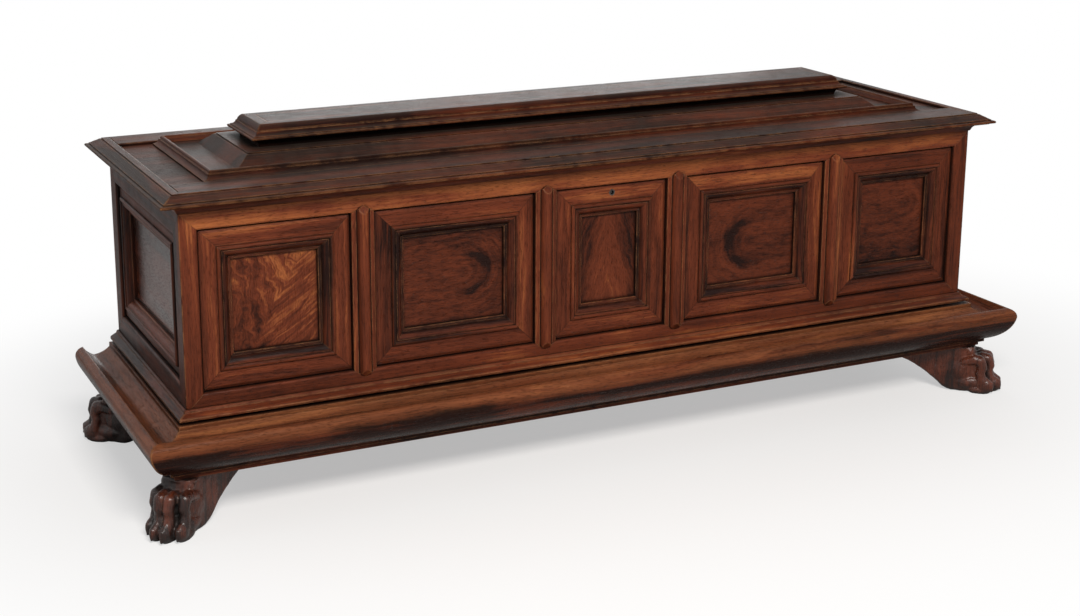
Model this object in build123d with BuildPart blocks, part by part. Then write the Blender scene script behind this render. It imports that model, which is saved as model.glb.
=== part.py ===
"""A walnut cassone: a long panelled chest on a torus plinth and four carved lion's paws.

X runs along the front, -Y is the front and +Z is up. The origin is the middle of the
overall box on the floor. A moulding's section is drawn with its own x pointing out of the
chest (or out of the panel it frames) and its own y pointing up (or off the face).
"""

from build123d import *
import os
from math import cos, radians, sin

os.makedirs("parts", exist_ok=True)

# ---------------------------------------------------------------- driving dimensions, mm

# Carcase
carcase_length = 1640.0
carcase_depth = 488.0
board_thickness = 22.0
bottom_thickness = 18.0
facing_thickness = 28.0

# Heights from the floor up
foot_height = 98.0
base_board_thickness = 18.0
plinth_rise = 70.0
shadow_gap = 6.0
base_moulding_height = 16.0
framing_height = 342.0
cornice_height = 18.0

# Plinth: how far its members stand out from the carcase
base_board_reach = 34.0
plinth_fillet_reach = 42.0
plinth_nose_reach = 86.0
plinth_crest_reach = 71.0
plinth_valley_reach = 50.0
plinth_ledge_reach = 20.0
plinth_bearing = 36.0
plinth_drop = 9.0
plinth_nose_rise = 46.0
plinth_crest_drop = 3.0
plinth_valley_drop = 21.0
plinth_cove_drop = 10.0

# Mouldings on the carcase
base_moulding_reach = 17.0
cornice_reach = 28.5

# Front framing
stile_width = 32.0
top_rail_width = 31.3
bottom_rail_width = 24.0
rail_edge_radius = 5.0
muntin_width = 42.0
muntin_rib_width = 22.0
muntin_crest = 9.0
muntin_shoulder_sink = 2.0
muntin_point = 13.0
inner_muntin_centre = 138.0
outer_muntin_centre = 494.0

# Bay frames, front and ends
bay_moulding_width = 27.0
bead_width = 8.0
fillet_width = 5.5
fillet_rise = 6.5
bead_sink = 1.0
side_band = 32.0
top_band = 32.0
bottom_band = 34.0
band_sink = 6.0
band_edge_width = 8.0
band_edge_sink = 13.0
front_field_sink = 20.0
end_stile_width = 40.0
end_top_rail_width = 44.0
end_bottom_rail_width = 37.0
end_band = 20.0
end_field_sink = 20.0

# Lid
lid_board_thickness = 13.0
lid_lip_reach = 38.0
lid_bead_height = 5.5
lid_flat_reach = 11.0
lid_flat_rise = 6.0
lid_end_flat = 4.0
lid_long_flat = 60.0
strip_width = 26.0
strip_height = 19.0
strip_end_inset = 67.0
strip_long_inset = 69.0
crown_floor_thickness = 7.0
crown_field_height = 29.0
crown_bevel_width = 26.0
crown_bevel_end_inset = 139.0
crown_bevel_long_inset = 116.0
crown_height = 40.0
crown_moulding_width = 42.0
crown_lip_end_inset = 183.0
crown_lip_long_inset = 166.5
crown_slope = 24.0

# Lion's paw feet
paw_front_heading = 38.0
paw_rear_heading = 45.0
paw_rear_setback = 52.0
paw_console_width = 58.0
paw_console_reach = 158.0
paw_console_toe = 15.0
paw_console_slope = 0.25
paw_calf_reach = 22.0
paw_calf_height = 9.0
paw_heel_reach = 2.0
paw_console_facets = 6
paw_ball_reach = 60.0
paw_collar_reach = 46.0
instep_inset = 16.0
instep_radius = 40.0
instep_low_z = 6.0
instep_taper = 12.0
toe_spacing = 15.0
toe_width = 20.0
toe_bevel = 4.5
toe_fan = 3.5
toe_reach = 100.0
toe_length = 78.0
pad_length = 27.0
toe_height = 34.0
toe_setback = 16.0
knuckle_gap = 11.0
claw_width = 8.0
claw_bevel = 1.8
claw_reach = 1.6
tenon_size = 18.0
tenon_depth = 34.0
tenon_inset = 26.0

# Hinges
hinge_spacing = 560.0
hinge_width = 63.0
hinge_leaf_thickness = 2.0
hinge_leaf_length = 34.0
lid_leaf_length = 22.0
hinge_offset = 6.0
knuckle_radius = 5.0
knuckle_clearance = 0.3
pin_radius = 2.5
pin_clearance = 0.05

# Lock
lock_width = 100.0
lock_height = 88.0
lock_depth = 26.0
lock_top_clearance = 6.0
staple_thickness = 5.0
staple_width = 14.0
staple_bar = 3.0
staple_length = 27.0
staple_plate_thickness = 3.0
staple_plate_length = 44.0
bolt_thickness = 5.0
bolt_height = 7.0
bolt_reach = 38.0
bolt_travel = 12.0
bolt_clearance = 0.3
eye_clearance = 2.5
staple_clearance = 2.0
keyhole_radius = 6.0
keyhole_wall = 2.2
key_pin_radius = 1.8
key_room_radius = 14.0

# ------------------------------------------------------------------------ derived places

half_length = carcase_length / 2
overall_depth = plinth_nose_reach + carcase_depth + lid_lip_reach
front_y = plinth_nose_reach - overall_depth / 2
back_y = front_y + carcase_depth
middle_y = (front_y + back_y) / 2

board_x = half_length - facing_thickness
inside_x = board_x - board_thickness
board_front_y = front_y + facing_thickness
inside_front_y = board_front_y + board_thickness
inside_back_y = back_y - board_thickness

plinth_z = foot_height + base_board_thickness
ledge_z = plinth_z + plinth_rise
base_moulding_z = ledge_z + shadow_gap
framing_z = base_moulding_z + base_moulding_height
cornice_z = framing_z + framing_height
rim_z = cornice_z + cornice_height
lid_top_z = rim_z + lid_board_thickness
crown_z = lid_top_z + crown_field_height

STANDING = (Align.CENTER, Align.CENTER, Align.MIN)
HANGING = (Align.CENTER, Align.CENTER, Align.MAX)
HUNG_BEHIND = (Align.CENTER, Align.MIN, Align.MAX)
UP = (0, 0, 1)
FRONT = (0, -1, 0)
BACK = (0, 1, 0)
LEFT = (-1, 0, 0)
RIGHT = (1, 0, 0)


# ------------------------------------------------------------------------------- helpers


def save(name, *parts):
    """Label a piece, or a group of like pieces, and write it as one STEP file."""
    piece = parts[0] if len(parts) == 1 else Compound(children=list(parts))
    piece.label = name
    export_step(piece, f"parts/{name}.step")


def section_plane(origin, outward, face):
    """Plane for a section: its x runs outward, its y stands up off the face."""
    x_dir = Vector(*outward)
    return Plane(origin=origin, x_dir=x_dir, z_dir=x_dir.cross(Vector(*face)))


def mitre(corner, outward, along):
    """45-degree cut through a corner, kept on the side of the member that faces outward."""
    return Plane(origin=corner, z_dir=Vector(*outward) - Vector(*along))


def run_of(section, plane, half_run, cuts):
    """A straight run of one section, with its ends cut on the mitre planes."""
    with BuildPart() as run:
        with BuildSketch(plane):
            add(section)
        extrude(amount=half_run, both=True)
        for cut in cuts:
            split(bisect_by=cut, keep=Keep.TOP)
    return run.part


def board(x_range, y_range, z_range):
    """A plain board between two limits each way."""
    with BuildPart() as plank:
        with BuildSketch(Plane.XY.offset(z_range[0])):
            with Locations(((x_range[0] + x_range[1]) / 2, (y_range[0] + y_range[1]) / 2)):
                Rectangle(x_range[1] - x_range[0], y_range[1] - y_range[0])
        extrude(amount=z_range[1] - z_range[0])
    return plank.part


def wall_runs(section):
    """The front, left and right runs of a moulding that stands on the carcase's faces."""
    corners = {LEFT: (-half_length, front_y, 0), RIGHT: (half_length, front_y, 0)}
    front = run_of(
        section,
        section_plane((0, front_y, 0), FRONT, UP),
        half_length + plinth_nose_reach,
        [mitre(corners[side], FRONT, side) for side in (LEFT, RIGHT)],
    )
    reach = carcase_depth + plinth_nose_reach
    sides = []
    for side in (LEFT, RIGHT):
        corner_x = corners[side][0]
        square_end = Plane(origin=(corner_x, back_y, 0), z_dir=FRONT)
        sides.append(
            run_of(
                section,
                section_plane((corner_x, back_y, 0), side, UP),
                reach,
                [mitre(corners[side], side, FRONT), square_end],
            )
        )
    return front, sides[0], sides[1]


def frame_members(sections, centre, size, across, up, face, corner_cuts=()):
    """Four mitred members round an opening: the far side, the near side, top and bottom.

    sections maps "sides", "top" and "bottom" to sections whose x starts at the opening.
    across and up span the opening's plane, and face points off it.
    """
    middle = Vector(*centre)
    wide = Vector(*across) * (size[0] / 2)
    tall = Vector(*up) * (size[1] / 2)
    span = size[0] + size[1] + 2 * plinth_nose_reach
    members = []
    for outward, edge, key in (
        (Vector(*across) * -1, wide * -1, "sides"),
        (Vector(*across), wide, "sides"),
        (Vector(*up), tall, "top"),
        (Vector(*up) * -1, tall * -1, "bottom"),
    ):
        ends = (wide, wide * -1) if key in ("top", "bottom") else (tall, tall * -1)
        cuts = [mitre(middle + edge + end, outward, end.normalized()) for end in ends]
        plane = section_plane(middle + edge, outward, face)
        members.append(run_of(sections[key], plane, span / 2, cuts + list(corner_cuts)))
    return members


def crop_to(part, low, high):
    """Keep only what lies inside a box."""
    with BuildPart() as cropped:
        add(part)
        with Locations(((low[0] + high[0]) / 2, (low[1] + high[1]) / 2, (low[2] + high[2]) / 2)):
            Box(high[0] - low[0], high[1] - low[1], high[2] - low[2], mode=Mode.INTERSECT)
    return cropped.part


# ------------------------------------------------------------------------------ sections


def plinth_section():
    """Heavy torus with a hollow behind it and a ledge that the carcase stands on."""
    low = plinth_z - plinth_drop
    nose_z = plinth_z + plinth_nose_rise
    crest_z = ledge_z - plinth_crest_drop
    cove_z = ledge_z - plinth_cove_drop
    valley_z = ledge_z - plinth_valley_drop
    ovolo_x = (plinth_fillet_reach + plinth_nose_reach) / 2 + 7
    cove_reach = plinth_ledge_reach + 2
    with BuildSketch() as section:
        with BuildLine():
            Polyline(
                (plinth_fillet_reach, low + 6),
                (plinth_fillet_reach, low),
                (base_board_reach, low),
                (base_board_reach, plinth_z),
                (-plinth_bearing, plinth_z),
                (-plinth_bearing, ledge_z),
                (plinth_ledge_reach, ledge_z),
                (plinth_ledge_reach, cove_z + 2),
                (cove_reach, cove_z),
            )
            ThreePointArc(
                (cove_reach, cove_z),
                ((cove_reach + plinth_valley_reach) / 2, (cove_z + valley_z) / 2 - 2.5),
                (plinth_valley_reach, valley_z),
            )
            ThreePointArc(
                (plinth_valley_reach, valley_z),
                ((plinth_valley_reach + plinth_crest_reach) / 2 + 1, (valley_z + crest_z) / 2 - 2.5),
                (plinth_crest_reach, crest_z),
            )
            ThreePointArc(
                (plinth_crest_reach, crest_z),
                (plinth_nose_reach - 3, (nose_z + crest_z) / 2 + 4),
                (plinth_nose_reach, nose_z),
            )
            ThreePointArc(
                (plinth_nose_reach, nose_z),
                (ovolo_x, (nose_z + low + 6) / 2 - 6),
                (plinth_fillet_reach, low + 6),
            )
        make_face()
    return section.sketch


def base_moulding_section():
    """Lip, weathered top and a small bead against the framing."""
    top = framing_z
    lip_z = base_moulding_z + 6
    with BuildSketch() as section:
        with BuildLine():
            Polyline(
                (5, top - 4.5),
                (base_moulding_reach - 2, lip_z),
                (base_moulding_reach, lip_z - 2),
                (base_moulding_reach, base_moulding_z),
                (-facing_thickness, base_moulding_z),
                (-facing_thickness, top),
                (0, top),
            )
            ThreePointArc((0, top), (4, top - 1), (5, top - 4.5))
        make_face()
    return section.sketch


def cornice_section():
    """Cove under the lid's overhang, with a fillet below and a fillet above."""
    with BuildSketch() as section:
        with BuildLine():
            Polyline(
                (cornice_reach - 1.5, rim_z - 2.5),
                (cornice_reach, rim_z - 2.5),
                (cornice_reach, rim_z),
                (-facing_thickness, rim_z),
                (-facing_thickness, cornice_z),
                (1.5, cornice_z),
                (3, cornice_z + 1.5),
            )
            ThreePointArc(
                (3, cornice_z + 1.5),
                (cornice_reach * 0.33, rim_z - cornice_height * 0.36),
                (cornice_reach - 1.5, rim_z - 2.5),
            )
        make_face()
    return section.sketch


def rail_section(width):
    """Flat rail or stile with its inner arris rounded over."""
    drop = rail_edge_radius
    with BuildSketch() as section:
        with BuildLine():
            Polyline(
                (0, -drop), (0, -facing_thickness), (width, -facing_thickness), (width, 0), (drop, 0)
            )
            ThreePointArc(
                (drop, 0), (drop * (1 - cos(radians(45))), -drop * (1 - sin(radians(45)))), (0, -drop)
            )
        make_face()
    return section.sketch


def bay_section(band, field_sink):
    """Bay frame: band bevelled at its outer edge, bead, ovolo and a fillet at the panel."""
    width = bay_moulding_width + band
    fillet_p = fillet_rise - field_sink
    bead_x = bay_moulding_width - bead_width
    ovolo_low = (fillet_width, fillet_p - 1)
    ovolo_high = (bead_x - 1, -bead_sink - 2.5)
    ovolo_middle = (
        (ovolo_low[0] + ovolo_high[0]) / 2 - 1.8,
        (ovolo_low[1] + ovolo_high[1]) / 2 + 1.6,
    )
    bead_low = (bead_x, ovolo_high[1] - 2)
    bead_high = (bay_moulding_width, -band_sink + 1)
    with BuildSketch() as section:
        with BuildLine():
            Polyline((0, fillet_p - 1), (1, fillet_p), (fillet_width, fillet_p), ovolo_low)
            ThreePointArc(ovolo_low, ovolo_middle, ovolo_high)
            Polyline(ovolo_high, bead_low)
            ThreePointArc(bead_low, (bead_x + bead_width / 2, -bead_sink), bead_high)
            Polyline(
                bead_high,
                (bay_moulding_width, -band_sink),
                (width - band_edge_width, -band_sink),
                (width - band_edge_width * 0.3, -band_sink - 2),
                (width, -band_edge_sink),
                (width, -facing_thickness),
                (0, -facing_thickness),
                (0, fillet_p - 1),
            )
        make_face()
    return section.sketch


def lid_edge_section(flat):
    """Lid's moulded edge, rebated over the lid board: bead, quirk, cyma, fillet and flat."""
    bead_z = rim_z + lid_bead_height
    flat_z = lid_top_z + lid_flat_rise
    quirk_x = lid_lip_reach - 7
    cyma_x = lid_flat_reach + 3
    bend = ((quirk_x + cyma_x) / 2, (bead_z + flat_z) / 2)
    with BuildSketch() as section:
        with BuildLine():
            Polyline((lid_lip_reach - 3, bead_z), (quirk_x, bead_z), (quirk_x, bead_z + 2))
            ThreePointArc(
                (quirk_x, bead_z + 2), (bend[0] + 4.6, bend[1] - 2.9), (bend[0], bend[1])
            )
            ThreePointArc(
                (bend[0], bend[1]), (bend[0] - 4.6, bend[1] + 2.4), (cyma_x, flat_z - 2)
            )
            Polyline(
                (cyma_x, flat_z - 2),
                (lid_flat_reach, flat_z - 2),
                (lid_flat_reach, flat_z),
                (1.5 - flat, flat_z),
                (-flat, flat_z - 1.5),
                (-flat, lid_top_z),
                (0, lid_top_z),
                (0, rim_z),
                (lid_lip_reach - 3, rim_z),
            )
            ThreePointArc(
                (lid_lip_reach - 3, rim_z),
                (lid_lip_reach, (rim_z + bead_z) / 2),
                (lid_lip_reach - 3, bead_z),
            )
        make_face()
    return section.sketch


def strip_section():
    """Raised strip on the lid: ogee outside, quirk, standing bead and a hollow inside."""
    top = strip_height
    floor = crown_floor_thickness
    with BuildSketch() as section:
        with BuildLine():
            Polyline((0, floor + 1), (0, 0), (strip_width, 0), (strip_width, 3), (strip_width - 2, 4))
            ThreePointArc(
                (strip_width - 2, 4), (strip_width - 7, 6.8), (strip_width - 9, top - 6)
            )
            Polyline((strip_width - 9, top - 6), (strip_width - 11, top - 6), (strip_width - 12, top - 4))
            ThreePointArc((strip_width - 12, top - 4), (strip_width - 15.5, top), (7.5, top - 3))
            ThreePointArc((7.5, top - 3), (3.2, (top + floor) / 2 - 1), (0, floor + 1))
        make_face()
    return section.sketch


def crown_section():
    """Crown moulding: deep cove, lip bead, cavetto, fillet and an ovolo up to the flat top."""
    lip = crown_moulding_width
    top = crown_height
    slope_x = lip - crown_slope
    with BuildSketch() as section:
        with BuildLine():
            Polyline((0, top), (0, 0), (lip - 18, 0), (lip - 18, 2))
            ThreePointArc((lip - 18, 2), (lip - 13.5, 11), (lip - 3, 14.5))
            ThreePointArc((lip - 3, 14.5), (lip, 17), (lip - 3, 19.5))
            Polyline((lip - 3, 19.5), (lip - 4.5, 19.5), (lip - 4.5, 21))
            ThreePointArc((lip - 4.5, 21), (lip - 10.5, 23.6), (lip - 13, 29))
            Polyline((lip - 13, 29), (lip - 15, 29), (lip - 15, 30.5))
            ThreePointArc((lip - 15, 30.5), (lip - 17.6, top - 4.4), (slope_x + 1, top))
            Polyline((slope_x + 1, top), (0, top))
        make_face()
    return section.sketch


# ------------------------------------------------------------------------ lion's paw feet


def console_outline():
    """Side view of the leg: S-curved console cut in facets, sole, ankle and top."""
    bend = (-paw_calf_reach, paw_calf_height)
    console_toe = (-paw_console_reach, foot_height - paw_console_toe)
    heel = (-paw_heel_reach, 0)
    cove = TangentArc(console_toe, bend, tangent=(1, -paw_console_slope))
    calf = TangentArc(bend, heel, tangent=cove % 1)
    shares = [step / paw_console_facets for step in range(paw_console_facets)]
    with BuildSketch() as outline:
        with BuildLine():
            Polyline(
                *[cove @ share for share in shares],
                *[calf @ share for share in shares],
                heel,
                (paw_ball_reach, 0),
                (paw_ball_reach, foot_height * 0.6),
                (paw_collar_reach - 8, foot_height - 9),
                (paw_collar_reach, foot_height - 5),
                (paw_collar_reach, foot_height),
                (-paw_console_reach, foot_height),
                close=True,
            )
        make_face()
    return outline.sketch


def toe_outline():
    """Side view of a toe: sole, tip, pad, column and knuckle, in chisel facets."""
    root_x = toe_reach - toe_length
    knuckle_z = foot_height - knuckle_gap
    column_x = toe_reach - pad_length
    pad_z = toe_height
    tip_x = toe_reach
    with BuildSketch() as outline:
        with BuildLine():
            Polyline(
                (root_x, 0),
                (tip_x - 10, 0),
                (tip_x - 1, pad_z * 0.25),
                (tip_x - 2, pad_z * 0.68),
                (tip_x - 13, pad_z),
                (column_x + 3, pad_z + 5),
                (column_x, knuckle_z - 24),
                (column_x + 1, knuckle_z - 9),
                (column_x - 7, knuckle_z),
                (column_x - 22, knuckle_z - 2),
                (root_x, knuckle_z - 18),
                close=True,
            )
        make_face()
    return outline.sketch


def toe():
    """One toe, bevelled down both sides like chiselled work, and its claw."""
    outline = toe_outline()
    with BuildPart() as digit:
        with BuildSketch(Plane.XZ):
            add(outline)
        extrude(amount=toe_width / 2, both=True)
        chamfer(digit.faces().filter_by(Axis.Y).edges(), toe_bevel)
    with BuildPart() as claw:
        with BuildSketch(Plane.XZ):
            with BuildLine():
                Polyline(
                    (toe_reach - 12, toe_height * 0.74),
                    (toe_reach - 2, toe_height * 0.68),
                    (toe_reach + claw_reach, toe_height * 0.36),
                    (toe_reach + claw_reach - 1.5, 2.5),
                    (toe_reach - 6, toe_height * 0.3),
                    close=True,
                )
            make_face()
        extrude(amount=claw_width / 2, both=True)
        chamfer(claw.faces().filter_by(Axis.Y).edges(), claw_bevel)
    with BuildPart() as whole:
        add(digit.part)
        add(claw.part)
    return whole.part


def lions_paw():
    """One foot in its own frame: +X to the toes, the heel near the origin, the sole on Z = 0."""
    digit = toe()
    leg = console_outline()
    with BuildPart() as paw:
        with BuildSketch(Plane.XZ):
            add(leg)
        extrude(amount=paw_console_width / 2, both=True)
        with BuildSketch(Plane.XY.offset(instep_low_z)):
            with Locations((instep_inset, 0)):
                RegularPolygon(instep_radius, 10)
        extrude(amount=foot_height - instep_low_z - knuckle_gap - 2, taper=instep_taper)
        for place in (-1.5, -0.5, 0.5, 1.5):
            setback = toe_setback * (abs(place) - 0.5)
            with Locations(Location((-setback, place * toe_spacing, 0), (0, 0, place * toe_fan))):
                add(digit)
        with Locations((-tenon_inset, 0, foot_height - tenon_depth)):
            Box(tenon_size, tenon_size, tenon_depth, align=STANDING, mode=Mode.SUBTRACT)
    return paw.part


# where each foot stands, and which way its toes point in degrees from +X
foot_places = {
    "foot_front_left": ((-half_length, front_y, 0), 180 + paw_front_heading),
    "foot_front_right": ((half_length, front_y, 0), -paw_front_heading),
    "foot_rear_left": ((-half_length, back_y - paw_rear_setback, 0), 180 - paw_rear_heading),
    "foot_rear_right": ((half_length, back_y - paw_rear_setback, 0), paw_rear_heading),
}
paw_shape = lions_paw()
tenon_places = []
for name, (place, heading) in foot_places.items():
    with BuildPart() as foot:
        with Locations(Location(place, (0, 0, heading))):
            add(paw_shape)
    save(name, foot.part)
    spot_x = place[0] - tenon_inset * cos(radians(heading))
    spot_y = place[1] - tenon_inset * sin(radians(heading))
    tenon_places.append(Location((spot_x, spot_y, foot_height - tenon_depth), (0, 0, heading)))

tenon_height = tenon_depth + base_board_thickness
tenons = []
for place in tenon_places:
    with BuildPart() as tenon:
        with Locations(place):
            Box(tenon_size, tenon_size, tenon_height, align=STANDING)
    tenons.append(tenon.part)
save("foot_tenons", *tenons)

# ----------------------------------------------------------------------- base and plinth

base_x = half_length + base_board_reach
with BuildPart() as base_board:
    add(board((-base_x, base_x), (front_y - base_board_reach, back_y), (foot_height, plinth_z)))
    with Locations(tenon_places):
        Box(tenon_size, tenon_size, tenon_height, align=STANDING, mode=Mode.SUBTRACT)
save("base_board", base_board.part)

plinth_names = ("plinth_front", "plinth_left", "plinth_right")
for name, part in zip(plinth_names, wall_runs(plinth_section())):
    save(name, part)

plinth_inner_x = half_length - plinth_bearing
rail_y = (back_y - plinth_bearing, back_y)
save("plinth_back_rail", board((-plinth_inner_x, plinth_inner_x), rail_y, (plinth_z, ledge_z)))

# ------------------------------------------------------------------------------- carcase

floor_y = (inside_front_y, inside_back_y)
save("bottom_board", board((-inside_x, inside_x), floor_y, (ledge_z, ledge_z + bottom_thickness)))

keyhole_z = cornice_z - top_rail_width - top_band / 2
keyhole_axis = Location((0, inside_front_y, keyhole_z), (90, 0, 0))
with BuildPart() as front_board:
    add(board((-board_x, board_x), (board_front_y, inside_front_y), (ledge_z, rim_z)))
    with Locations(keyhole_axis):
        Cylinder(keyhole_radius, board_thickness, align=STANDING, mode=Mode.SUBTRACT)
save("front_board", front_board.part)

save("back_board", board((-board_x, board_x), (inside_back_y, back_y), (ledge_z, rim_z)))
for name, side in (("end_board_left", -1), ("end_board_right", 1)):
    span = sorted((side * board_x, side * inside_x))
    save(name, board(span, floor_y, (ledge_z, rim_z)))

# ------------------------------------------------------------------------- front framing

opening_x = half_length - stile_width
opening_low_z = framing_z + bottom_rail_width
opening_high_z = cornice_z - top_rail_width
opening_height = opening_high_z - opening_low_z
opening_middle_z = (opening_low_z + opening_high_z) / 2
muntin_centres = (-outer_muntin_centre, -inner_muntin_centre, inner_muntin_centre, outer_muntin_centre)


def muntin_plan(centre):
    """Front view of a muntin: a long strip with a point let into each rail."""
    half = muntin_width / 2
    shoulder = opening_height / 2
    face = Plane(origin=(centre, front_y, opening_middle_z), x_dir=RIGHT, z_dir=FRONT)
    with BuildSketch(face) as plan:
        with BuildLine():
            Polyline(
                (-half, -shoulder),
                (0, -shoulder - muntin_point),
                (half, -shoulder),
                (half, shoulder),
                (0, shoulder + muntin_point),
                (-half, shoulder),
                close=True,
            )
        make_face()
    return plan.sketch


def muntin(centre):
    """Upright between two bays: a round rib between flats, its points sloped to the rails."""
    plan = muntin_plan(centre)
    half = muntin_width / 2
    rib = muntin_rib_width / 2
    tip = opening_height / 2 + muntin_point
    with BuildPart() as strip:
        with BuildSketch(section_plane((centre, front_y, opening_middle_z), RIGHT, FRONT)):
            with BuildLine():
                Polyline(
                    (rib, -muntin_shoulder_sink),
                    (rib + muntin_shoulder_sink, 0),
                    (half, -muntin_shoulder_sink),
                    (half, -facing_thickness),
                    (-half, -facing_thickness),
                    (-half, -muntin_shoulder_sink),
                    (-rib - muntin_shoulder_sink, 0),
                    (-rib, -muntin_shoulder_sink),
                )
                ThreePointArc(
                    (-rib, -muntin_shoulder_sink), (0, muntin_crest), (rib, -muntin_shoulder_sink)
                )
            make_face()
        extrude(amount=tip, both=True)
        extrude(plan, amount=facing_thickness + muntin_crest, both=True, mode=Mode.INTERSECT)
        for way in (-1, 1):
            tip_point = (centre, front_y, opening_middle_z + way * tip)
            slope = Plane(origin=tip_point, z_dir=(0, muntin_point + 2, -way * (muntin_crest + 0.5)))
            split(bisect_by=slope, keep=Keep.TOP)
    return strip.part


muntin_plans = [muntin_plan(centre) for centre in muntin_centres]
front_sections = {
    "sides": rail_section(stile_width),
    "top": rail_section(top_rail_width),
    "bottom": rail_section(bottom_rail_width),
}
front_mitres = [mitre((side * half_length, front_y, 0), FRONT, (side, 0, 0)) for side in (-1, 1)]
front_middle = (0, front_y, opening_middle_z)
front_members = frame_members(
    front_sections, front_middle, (2 * opening_x, opening_height), RIGHT, UP, FRONT, front_mitres
)
framing_low = (-half_length, front_y, framing_z)
framing_high = (half_length, board_front_y, cornice_z)
front_names = ("front_stile_left", "front_stile_right", "front_rail_top", "front_rail_bottom")
for name, member in zip(front_names, front_members):
    with BuildPart() as framing:
        add(crop_to(member, framing_low, framing_high))
        if "rail" in name:
            for plan in muntin_plans:
                extrude(plan, amount=facing_thickness, both=True, mode=Mode.SUBTRACT)
    save(name, framing.part)

save("muntins", *[muntin(centre) for centre in muntin_centres])

bay_sections = {
    "sides": bay_section(side_band, front_field_sink),
    "top": bay_section(top_band, front_field_sink),
    "bottom": bay_section(bottom_band, front_field_sink),
}
half_muntin = muntin_width / 2
bay_edges = [-opening_x]
for centre in muntin_centres:
    bay_edges += [centre - half_muntin, centre + half_muntin]
bay_edges.append(opening_x)
panel_low_z = opening_low_z + bottom_band + bay_moulding_width
panel_high_z = opening_high_z - top_band - bay_moulding_width
panel_middle_z = (panel_low_z + panel_high_z) / 2
for number, (left, right) in enumerate(zip(bay_edges[0::2], bay_edges[1::2]), start=1):
    panel_left = left + side_band + bay_moulding_width
    panel_right = right - side_band - bay_moulding_width
    members = frame_members(
        bay_sections,
        ((left + right) / 2, front_y, panel_middle_z),
        (panel_right - panel_left, panel_high_z - panel_low_z),
        RIGHT,
        UP,
        FRONT,
    )
    low = (left, front_y, opening_low_z)
    high = (right, board_front_y, opening_high_z)
    members = [crop_to(member, low, high) for member in members]
    if left < 0 < right:
        with BuildPart() as keyhole_member:
            add(members[2])
            with Locations(keyhole_axis):
                Cylinder(
                    keyhole_radius,
                    board_thickness + facing_thickness,
                    align=STANDING,
                    mode=Mode.SUBTRACT,
                )
        members[2] = keyhole_member.part
    save(f"bay_frame_{number}", *members)
    panel_y = (front_y + front_field_sink, board_front_y)
    save(f"bay_panel_{number}", board((panel_left, panel_right), panel_y, (panel_low_z, panel_high_z)))

# --------------------------------------------------------------------------- end framing

end_low_z = framing_z + end_bottom_rail_width
end_high_z = cornice_z - end_top_rail_width
end_front_y = front_y + end_stile_width
end_back_y = back_y - end_stile_width
end_border = end_band + bay_moulding_width
end_sections = {
    "sides": rail_section(end_stile_width),
    "top": rail_section(end_top_rail_width),
    "bottom": rail_section(end_bottom_rail_width),
}
end_bay_section = bay_section(end_band, end_field_sink)
for name, side in (("left", -1), ("right", 1)):
    face = (side, 0, 0)
    wall = sorted((side * half_length, side * board_x))
    centre = (side * half_length, middle_y, (end_low_z + end_high_z) / 2)
    opening = (end_back_y - end_front_y, end_high_z - end_low_z)
    corner = mitre((side * half_length, front_y, 0), face, FRONT)
    members = frame_members(end_sections, centre, opening, BACK, UP, face, [corner])
    low = (wall[0], front_y, framing_z)
    high = (wall[1], back_y, cornice_z)
    save(f"end_frame_{name}", *[crop_to(member, low, high) for member in members])
    field = (opening[0] - 2 * end_border, opening[1] - 2 * end_border)
    sections = {"sides": end_bay_section, "top": end_bay_section, "bottom": end_bay_section}
    members = frame_members(sections, centre, field, BACK, UP, face)
    save(f"end_bay_frame_{name}", *members)
    panel_x = sorted((side * (half_length - end_field_sink), side * board_x))
    panel_y = (end_front_y + end_border, end_back_y - end_border)
    panel_z = (end_low_z + end_border, end_high_z - end_border)
    save(f"end_panel_{name}", board(panel_x, panel_y, panel_z))

moulding_sides = ("front", "left", "right")
for name, part in zip(moulding_sides, wall_runs(base_moulding_section())):
    save(f"base_moulding_{name}", part)
for name, part in zip(moulding_sides, wall_runs(cornice_section())):
    save(f"cornice_{name}", part)

# ----------------------------------------------------------------------------------- lid

save("lid_board", board((-half_length, half_length), (front_y, back_y), (rim_z, lid_top_z)))


def lid_edge(facing, flat, plan_points):
    """One side of the lid's moulded edge, cut to its outline seen from above."""
    reach = half_length + 2 * lid_lip_reach
    origin = {
        FRONT: (0, front_y, 0),
        BACK: (0, back_y, 0),
        LEFT: (-half_length, middle_y, 0),
        RIGHT: (half_length, middle_y, 0),
    }[facing]
    whole = run_of(lid_edge_section(flat), section_plane(origin, facing, UP), reach, [])
    with BuildPart() as edge:
        add(whole)
        with BuildSketch(Plane.XY.offset(rim_z)):
            with BuildLine():
                Polyline(*plan_points, close=True)
            make_face()
        extrude(amount=lid_board_thickness + lid_flat_rise, mode=Mode.INTERSECT)
    return edge.part


lip_x = half_length + lid_lip_reach
flat_x = half_length - lid_end_flat
for name, facing, wall_y in (("front", FRONT, front_y), ("back", BACK, back_y)):
    out = facing[1]
    corners = [
        (-lip_x, wall_y + out * lid_lip_reach),
        (-flat_x, wall_y - out * lid_end_flat),
        (-flat_x, wall_y - out * lid_long_flat),
        (flat_x, wall_y - out * lid_long_flat),
        (flat_x, wall_y - out * lid_end_flat),
        (lip_x, wall_y + out * lid_lip_reach),
    ]
    save(f"lid_edge_{name}", lid_edge(facing, lid_long_flat, corners))
for name, facing in (("left", LEFT), ("right", RIGHT)):
    out = facing[0]
    corners = [
        (out * lip_x, front_y - lid_lip_reach),
        (out * flat_x, front_y + lid_end_flat),
        (out * flat_x, back_y - lid_end_flat),
        (out * lip_x, back_y + lid_lip_reach),
    ]
    save(f"lid_edge_{name}", lid_edge(facing, lid_end_flat, corners))


def lid_size(end_inset, long_inset):
    """Size of a rectangle drawn in from the carcase's outline by two insets."""
    return carcase_length - 2 * end_inset, carcase_depth - 2 * long_inset


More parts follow.
